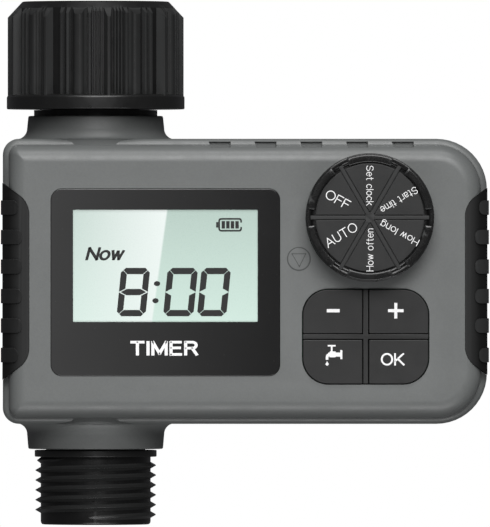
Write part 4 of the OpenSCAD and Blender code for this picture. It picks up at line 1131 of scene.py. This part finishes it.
# Middle lines of each letter's strokes in a box one capital high: width, strokes
LETTERS = {
    "A": (0.86, [[(0, 0), (0.43, 1), (0.86, 0)], [(0.14, 0.33), (0.72, 0.33)]]),
    "E": (0.66, [[(0.66, 0), (0, 0), (0, 1), (0.64, 1)], [(0, 0.53), (0.58, 0.53)]]),
    "F": (0.62, [[(0, 0), (0, 1), (0.62, 1)], [(0, 0.52), (0.54, 0.52)]]),
    "H": (0.74, [[(0, 0), (0, 1)], [(0.74, 0), (0.74, 1)], [(0, 0.53), (0.74, 0.53)]]),
    "I": (0.0, [[(0, 0), (0, 1)]]),
    "K": (0.78, [[(0, 0), (0, 1)], [(0.74, 1), (0, 0.32)], [(0.25, 0.55), (0.78, 0)]]),
    "M": (0.9, [[(0, 0), (0, 1), (0.45, 0.08), (0.9, 1), (0.9, 0)]]),
    "N": (0.74, [[(0, 0), (0, 1), (0.74, 0), (0.74, 1)]]),
    "O": (0.94, [bow(0.47, 0.5, 0.47, 0.5, 0, 360)]),
    "R": (0.74, [[(0, 0), (0, 1)] + bow(0.46, 0.755, 0.25, 0.245, 90, -90) + [(0, 0.51)],
                 [(0.44, 0.51), (0.74, 0)]]),
    "S": (0.72, [bow(0.36, 0.745, 0.32, 0.255, 15, 270) + bow(0.36, 0.25, 0.36, 0.25, 88, -165)]),
    "T": (0.78, [[(0, 1), (0.78, 1)], [(0.39, 1), (0.39, 0)]]),
    "U": (0.74, [[(0, 1)] + bow(0.37, 0.36, 0.37, 0.36, 180, 360) + [(0.74, 1)]]),
    "a": (0.54, [bow(0.27, 0.53, 0.23, 0.21, 165, 0) + [(0.5, 0)],
                 [(0.5, 0.43)] + bow(0.2, 0.205, 0.2, 0.205, 90, 270) + [(0.34, 0.02), (0.5, 0.16)]]),
    "c": (0.56, [bow(0.3, 0.37, 0.3, 0.37, 42, 318)]),
    "e": (0.6, [[(0, 0.39), (0.6, 0.39)], bow(0.3, 0.37, 0.3, 0.37, 2, 322)]),
    "f": (0.34, [[(0.14, 0)] + bow(0.33, 0.82, 0.19, 0.18, 180, 90), [(0, 0.72), (0.32, 0.72)]]),
    "g": (0.56, [bow(0.28, 0.37, 0.28, 0.37, 0, 360),
                 [(0.56, 0.74)] + bow(0.28, -0.03, 0.28, 0.24, 0, -155)]),
    "i": (0.0, [[(0, 0), (0, 0.74)], [(0, 0.92), (0, 1.02)]]),
    "k": (0.52, [[(0, 0), (0, 1)], [(0.48, 0.74), (0, 0.26)], [(0.2, 0.44), (0.52, 0)]]),
    "l": (0.0, [[(0, 0), (0, 1)]]),
    "m": (0.86, [[(0, 0), (0, 0.74)], bow(0.215, 0.52, 0.215, 0.22, 170, 0) + [(0.43, 0)],
                 bow(0.645, 0.52, 0.215, 0.22, 180, 0) + [(0.86, 0)]]),
    "n": (0.5, [[(0, 0), (0, 0.74)], bow(0.25, 0.49, 0.25, 0.25, 170, 0) + [(0.5, 0)]]),
    "o": (0.62, [bow(0.31, 0.37, 0.31, 0.37, 0, 360)]),
    "r": (0.28, [[(0, 0), (0, 0.74)], bow(0.27, 0.48, 0.27, 0.26, 180, 88)]),
    "t": (0.36, [[(0.15, 0.97)] + bow(0.31, 0.16, 0.16, 0.16, 180, 275), [(0, 0.72), (0.34, 0.72)]]),
    "w": (0.78, [[(0, 0.74), (0.2, 0.02), (0.39, 0.7), (0.58, 0.02), (0.78, 0.74)]]),
}


def straight_runs(points, spare):
    """Splits a stroke at its sharp corners and lengthens the runs, so that their ends cover the corners."""
    runs, run = [], [Vector(points[0])]
    for i in range(1, len(points) - 1):
        here = Vector(points[i])
        back, ahead = here - Vector(points[i - 1]), Vector(points[i + 1]) - here
        run.append(here)
        if back.angle(ahead, 0.0) > math.radians(40):
            runs.append(run)
            run = [here]
    runs.append(run + [Vector(points[-1])])
    for run in runs:
        start, end = (run[0] - run[1]).normalized(), (run[-1] - run[-2]).normalized()
        run[0] = run[0] + start * spare
        run[-1] = run[-1] + end * spare
    return runs


def words(name, text, size, length, place, material, body,
          turn=0.0, y=0.0, shear=0.0, stroke=0.13, gap=0.22, space=0.5):
    """Printed lettering with its middle at place; size is its capital height, length its whole width."""
    curve = bpy.data.curves.new(name, "CURVE")
    curve.dimensions = "3D"
    curve.bevel_depth = stroke / 2
    curve.bevel_resolution = 1
    curve.use_fill_caps = True
    shrink = 1 - stroke
    x = 0.0
    for letter in text:
        if letter == " ":
            x += space
            continue
        wide, strokes = LETTERS[letter]
        for points in strokes:
            loop = math.dist(points[0], points[-1]) < 1e-6
            for run in [points[:-1]] if loop else straight_runs(points, stroke / 2):
                line = curve.splines.new("POLY")
                line.points.add(len(run) - 1)
                for dot, (px, py) in zip(line.points, run):
                    dot.co = (x + px * shrink, stroke / 2 + py * shrink, 0, 1)
                line.use_cyclic_u = loop
        x += wide * shrink + gap
    thing = bpy.data.objects.new(name, curve)
    bpy.context.scene.collection.objects.link(thing)
    bpy.context.view_layer.update()
    mesh = bpy.data.meshes.new_from_object(thing.evaluated_get(bpy.context.evaluated_depsgraph_get()))
    bpy.data.objects.remove(thing)
    bm = bmesh.new()
    bm.from_mesh(mesh)
    bpy.data.meshes.remove(mesh)
    for vert in bm.verts:
        vert.co.x += vert.co.y * shear
    xs = [vert.co.x for vert in bm.verts]
    stamp(bm, shift(-(min(xs) + max(xs)) / 2, -0.5, 0))
    stamp(bm, Matrix.Diagonal((length / (max(xs) - min(xs)), size, 0.03 / stroke, 1)))
    stamp(bm, shift(*place, 0) @ round_z(turn))
    stamp(bm, front_turn(y))
    bmesh.ops.remove_doubles(bm, verts=bm.verts, dist=1e-5)
    recalc(bm)
    return finish(bm, name, material, body, weighted=False)


# ---- Dial ----

DIAL = joint_point("dial_turn")
KNOB_LOW, KNOB_HIGH = corners("dial_knob")
FACE_LOW, FACE_HIGH = corners("dial_face")
DIAL_FRONT = FACE_LOW.y


def dial_place():
    return shift(DIAL.x, 0, DIAL.z) @ front_turn(KNOB_HIGH.y)


def wedge(angle, outer, half_gap, height, thickness):
    """One plate of the dial's face: a sector with parallel gaps to its neighbours."""
    bm = bmesh.new()
    steps = 10
    verts = []
    spread = math.radians(30)
    start = half_gap / math.sin(spread)
    points = [Vector((start, 0))]
    rim = spread - math.asin(half_gap / outer)
    for i in range(steps + 1):
        a = -rim + 2 * rim * i / steps
        points.append(Vector((outer * math.cos(a), outer * math.sin(a))))
    for p in points:
        verts.append(bm.verts.new((p.x, p.y, height - thickness)))
    bm.faces.new(verts)
    grown = bmesh.ops.extrude_face_region(bm, geom=list(bm.faces))
    tops = [v for v in grown["geom"] if isinstance(v, bmesh.types.BMVert)]
    bmesh.ops.translate(bm, vec=(0, 0, thickness), verts=tops)
    recalc(bm)
    rim_edges = [e for e in bm.edges if all(abs(v.co.z - height) < 1e-6 for v in e.verts)]
    soften(bm, rim_edges, 0.1, 2)
    return stamp(bm, round_z(angle))


def arc_bar(inner, outer, low, high, span, edge):
    """A raised bar bent round the Z axis, centred on +X."""
    bm = bmesh.new()
    places = [(inner, low), (outer, low), (outer, high), (inner, high)]
    verts = [bm.verts.new((r, 0, z)) for r, z in places]
    face = bm.faces.new(verts)
    soften(bm, [verts[2], verts[3]], edge, 4, "VERTICES", True)
    face = list(bm.faces)[0]
    stamp(bm, Matrix.Rotation(-math.radians(span) / 2, 4, "Z"))
    bmesh.ops.spin(
        bm, geom=[face], cent=(0, 0, 0), axis=(0, 0, 1), angle=math.radians(span), steps=20,
        use_merge=False, use_duplicate=False)
    recalc(bm)
    ends = [f for f in bm.faces if len(f.verts) > 4]
    rims = [e for f in ends for e in f.edges]
    soften(bm, list(set(rims)), edge * 0.6, 2)
    return bm


def dial():
    rise = KNOB_HIGH.y - DIAL_FRONT
    radius = 14.3
    rim = rise - 0.5
    skirt = rounded(
        [(3.0, 2.0), (5.4, 2.0), (5.4, 0.0), (radius - 1.4, 0.0), (radius, 0.0), (radius, rim), (13.3, rim),
         (12.75, rim - 0.45), (0.0, rim - 0.45), (0.0, 4.6), (3.0, 4.6)],
        0.35, (5, 6, 7), 4)
    parts = [turned(skirt, 144)]
    for i in range(6):
        bar = arc_bar(12.25, 14.1, rim - 1.0, rise - 0.02, 44, 0.42)
        parts.append(stamp(bar, round_z(30 + 60 * i)))
    rim_form = stamp(merged(parts), dial_place())
    piece = finish(rim_form, "dial_rim", GLOSS_DARK, "dial", sharp=40)
    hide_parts("dial_knob")
    plates = [wedge(30 + 60 * i, 12.0, 0.62, rise - 0.12, 0.7) for i in range(6)]
    plates.append(rod(12.1, rim - 1.0, rise - 0.62, 96))
    plates.append(rod(1.15, rise - 1.2, rise - 0.21, 36, 0.1))
    for i in range(3):
        spoke = box_solid((-13.2, -0.42, rise - 1.2), (13.2, 0.42, rise - 0.22), 0.1)
        plates.append(stamp(spoke, round_z(60 * i)))
    face_form = stamp(merged(plates), dial_place())
    face = finish(face_form, "dial_plates", DARK, "dial", sharp=30)
    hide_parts("dial_face")


DIAL_WORDS = (
    ("set_clock", "Set clock", 90, 7.1, 1.62, 8.9), ("start_time", "Start time", 31, 7.55, 1.62, 9.3),
    ("how_long", "How long", -28, 7.45, 1.62, 9.4), ("how_often", "How often", -90, 7.2, 1.62, 9.5),
    ("auto", "AUTO", 211, 7.5, 2.15, 7.9), ("off", "OFF", 150.6, 8.2, 2.15, 5.8))


def dial_words():
    for name, text, angle, reach, size, length in DIAL_WORDS:
        a = math.radians(angle)
        place = (DIAL.x + reach * math.cos(a), DIAL.z + reach * math.sin(a))
        words("label_" + name, text, size, length, place, WHITE_INK, "dial",
              turn=angle + 180, y=DIAL_FRONT + 0.115, stroke=0.088, gap=0.2, space=0.42)


# ---- Keypad ----

KEYS = (
    ("button_minus", "key_minus", -1, 1), ("button_plus", "key_plus", 1, 1),
    ("button_manual", "key_manual", -1, -1), ("button_ok", "key_ok", 1, -1))
KEY_FRONT = corners("button_ok")[0].y


def keypad():
    """The four keys, and the cross that stands between them."""
    x, z = key_place()
    half_x, half_z = 14.1 - 0.13, 10.6 - 0.13
    for node, body, sx, sz in KEYS:
        a = (x + min(sx * 0.72, sx * half_x), z + min(sz * 0.72, sz * half_z))
        b = (x + max(sx * 0.72, sx * half_x), z + max(sz * 0.72, sz * half_z))
        radii = [0.3] * 4
        radii[{(-1, -1): 0, (1, -1): 1, (1, 1): 2, (-1, 1): 3}[(sx, sz)]] = 5.67
        bm = plate(a, b, radii, 2.6, 0.2, 3)
        stamp(bm, front_turn(KEY_FRONT + 2.6))
        piece = finish(bm, "key_" + node.split("_")[1], KEY, body, sharp=35)
        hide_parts(node)
    base = plate((x - half_x, z - half_z), (x + half_x, z + half_z), (5.67,) * 4, 0.5)
    stamp(base, front_turn(KEY_FRONT + 3.8))
    bars = [box_solid((x - wide, KEY_FRONT + 0.3, z - tall), (x + wide, KEY_FRONT + 3.5, z + tall), 0.12)
            for wide, tall in ((0.55, half_z), (half_x, 0.55))]
    piece = finish(joined([base] + bars), "keypad_cross", KEY, "housing")
    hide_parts("keypad_frame")


def key_signs():
    y = KEY_FRONT - 0.005

    def put(parts, name, body):
        bm = stamp(merged(parts), front_turn(y))
        finish(bm, name, WHITE_INK, body, weighted=False)

    put([box_solid((51.65, -55.5, -0.01), (54.5, -54.76, 0.012))], "sign_minus", "key_minus")
    x, z = 67.0, -55.12
    plus = [box_solid((x - 1.74, z - 0.34, -0.01), (x + 1.74, z + 0.34, 0.012)),
            box_solid((x - 0.34, z - 1.74, -0.01), (x + 0.34, z + 1.74, 0.012))]
    put([joined(plus)], "sign_plus", "key_plus")
    words("sign_ok", "OK", 2.8, 5.35, (66.35, -65.95), WHITE_INK, "key_ok", y=y, stroke=0.14)
    put(tap_sign(), "sign_tap", "key_manual")


def tap_sign():
    """A tap with a drop under its spout."""
    parts = []
    for a, b in (
            ((51.85, -63.1), (53.6, -62.75)), ((52.55, -64.3), (52.93, -63.0)),
            ((52.0, -65.35), (54.8, -64.45)), ((52.3, -65.5), (53.6, -64.2)),
            ((54.65, -65.9), (55.1, -63.9)), ((51.4, -66.05), (52.0, -65.45))):
        parts.append(box_solid((*a, -0.01), (*b, 0.012)))
    parts.append(turned_flat_arc(52.35, -65.5, 0.35, 0.95))
    drop = rod(0.36, -0.01, 0.012, 20)
    for vert in drop.verts:
        if vert.co.y > 0.2:
            vert.co.x *= 0.35
            vert.co.y *= 1.7
    return [joined(parts), stamp(drop, shift(51.7, -67.0, 0))]


def turned_flat_arc(x, z, inner, outer):
    """A quarter ring that bends a flat bar downwards to the left."""
    bm = bmesh.new()
    places = ((inner, -0.01), (outer, -0.01), (outer, 0.012), (inner, 0.012))
    verts = [bm.verts.new((r, 0, h)) for r, h in places]
    face = bm.faces.new(verts)
    stamp(bm, round_z(90))
    bmesh.ops.spin(
        bm, geom=[face], cent=(0, 0, 0), axis=(0, 0, 1), angle=math.radians(90), steps=8,
        use_merge=False, use_duplicate=False)
    recalc(bm)
    return stamp(bm, shift(x, z, 0))


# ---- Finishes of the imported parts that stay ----

FINISHES = {
    "black_plastic": BLACK, "dark_plastic": DARK, "key_plastic": KEY, "housing_grey": GREY,
    "window_black": WINDOW, "natural_plastic": NATURAL, "soft_rubber": RUBBER, "membrane": MEMBRANE,
    "valve_plastic": VALVE, "lcd": LCD, "board": BOARD, "components": PARTS, "steel": STEEL,
    "magnet": MAGNET, "copper_wire": COPPER, "brass_plate": BRASS, "cell_skin": CELL, "cable": CABLE}


def dress_packed_parts():
    for entry in frame["record"]["subparts"]:
        thing = frame["nodes"][entry["node"]]
        for place in thing.material_slots:
            place.material = FINISHES[entry["material_slot"]]
    for node in ("inlet_washer", "tray_seal", "housing_seal", "spigot_orings", "dial_seal"):
        for place in frame["nodes"][node].material_slots:
            place.material = SEAL


# ---- Stage, lights and camera ----

def stage():
    floor = bpy.data.meshes.new("floor")
    bm = bmesh.new()
    bmesh.ops.create_grid(bm, x_segments=1, y_segments=1, size=1.8)
    stamp(bm, shift(0, 0, (corners("outlet_spigot")[0].z - 30) * MM))
    bm.to_mesh(floor)
    bm.free()
    thing = bpy.data.objects.new("floor", floor)
    bpy.context.scene.collection.objects.link(thing)
    material, tree, shader, place = start_material("Pale floor")
    soft = noise(tree, place, 6, 3.0)
    tint = mix(tree, soft.outputs["Fac"], (0.86, 0.86, 0.86, 1), (0.9, 0.9, 0.9, 1))
    link(tree, [(tint, shader.inputs["Base Color"])])
    shader.inputs["Roughness"].default_value = 0.9
    floor.materials.append(material)
    thing.visible_diffuse = False
    thing.visible_glossy = False
    thing.visible_shadow = False
    studio()


def studio():
    """A dim even room that the camera sees as a plain white backdrop."""
    world = bpy.data.worlds.new("studio")
    bpy.context.scene.world = world
    world.use_nodes = True
    tree = world.node_tree
    rays = tree.nodes.new("ShaderNodeLightPath")
    tint = mix(tree, rays.outputs["Is Camera Ray"], (0.085, 0.085, 0.088, 1), (1, 1, 1, 1))
    back = tree.nodes["Background"]
    link(tree, [(tint, back.inputs["Color"])])
    back.inputs["Strength"].default_value = 1.0


def softbox(name, place, target, size, power):
    light = bpy.data.lights.new(name, "AREA")
    light.shape = "RECTANGLE"
    light.size, light.size_y = size
    light.energy = power
    thing = bpy.data.objects.new(name, light)
    bpy.context.scene.collection.objects.link(thing)
    thing.location = place
    aim = Vector(target) - Vector(place)
    thing.rotation_euler = aim.to_track_quat("-Z", "Y").to_euler()
    return thing


def lights():
    middle = (0.033, 0, -0.0486)
    softbox("key", (0.12, -1.45, 0.85), middle, (1.2, 0.8), 25)
    softbox("top", (0.1, -0.6, 1.45), middle, (1.2, 0.4), 11)
    softbox("low", (0.12, -0.8, -0.95), middle, (1.0, 0.4), 6)
    softbox("front", (0.0, -1.5, 0.28), middle, (0.2, 0.3), 0.8)
    back = softbox("back", (-0.3, 1.5, 1.0), middle, (1.0, 0.7), 16)
    back.visible_glossy = False


SENSOR = 24


def camera():
    """A long lens square to the front, filled by the object."""
    centre_x, centre_z = 33.43, -44.62
    tall = 117.52
    distance = 3900.0
    lens = bpy.data.cameras.new("camera")
    lens.sensor_fit = "VERTICAL"
    lens.sensor_height = SENSOR
    lens.lens = SENSOR * distance / tall
    lens.clip_start = 0.05
    lens.clip_end = 100
    thing = bpy.data.objects.new("camera", lens)
    bpy.context.scene.collection.objects.link(thing)
    thing.location = Vector((centre_x, SEAM - distance, centre_z)) * MM
    thing.rotation_euler = (math.radians(90), 0, 0)
    bpy.context.scene.camera = thing
    bpy.context.scene.view_settings.view_transform = "Standard"


camera()
dress_packed_parts()
front_cover()
rear_housing()
screw_wells()
collar("collar_inlet", TOP, COLLAR_TOP)
collar("collar_outlet", BOTTOM, COLLAR_LOW)
pointer_mark()
grip(-1, "left", "housing", "grip_left")
grip(1, "right", "drawer", "grip_right")
inlet_nut()
outlet()
window()
clock_digits()
battery_sign()
words("word_now", "Now", 3.0, 9.0, (2.3, -42.45), LCD_INK, "housing",
      y=LCD_FACE, shear=0.22, stroke=0.18, gap=0.18)
words("word_timer", "TIMER", 3.3, 15.2, (15.5, -63.5), WHITE_INK, "housing",
      y=WIN_LOW.y - 0.005, stroke=0.175, gap=0.27)
dial()
dial_words()
keypad()
key_signs()
stage()
lights()
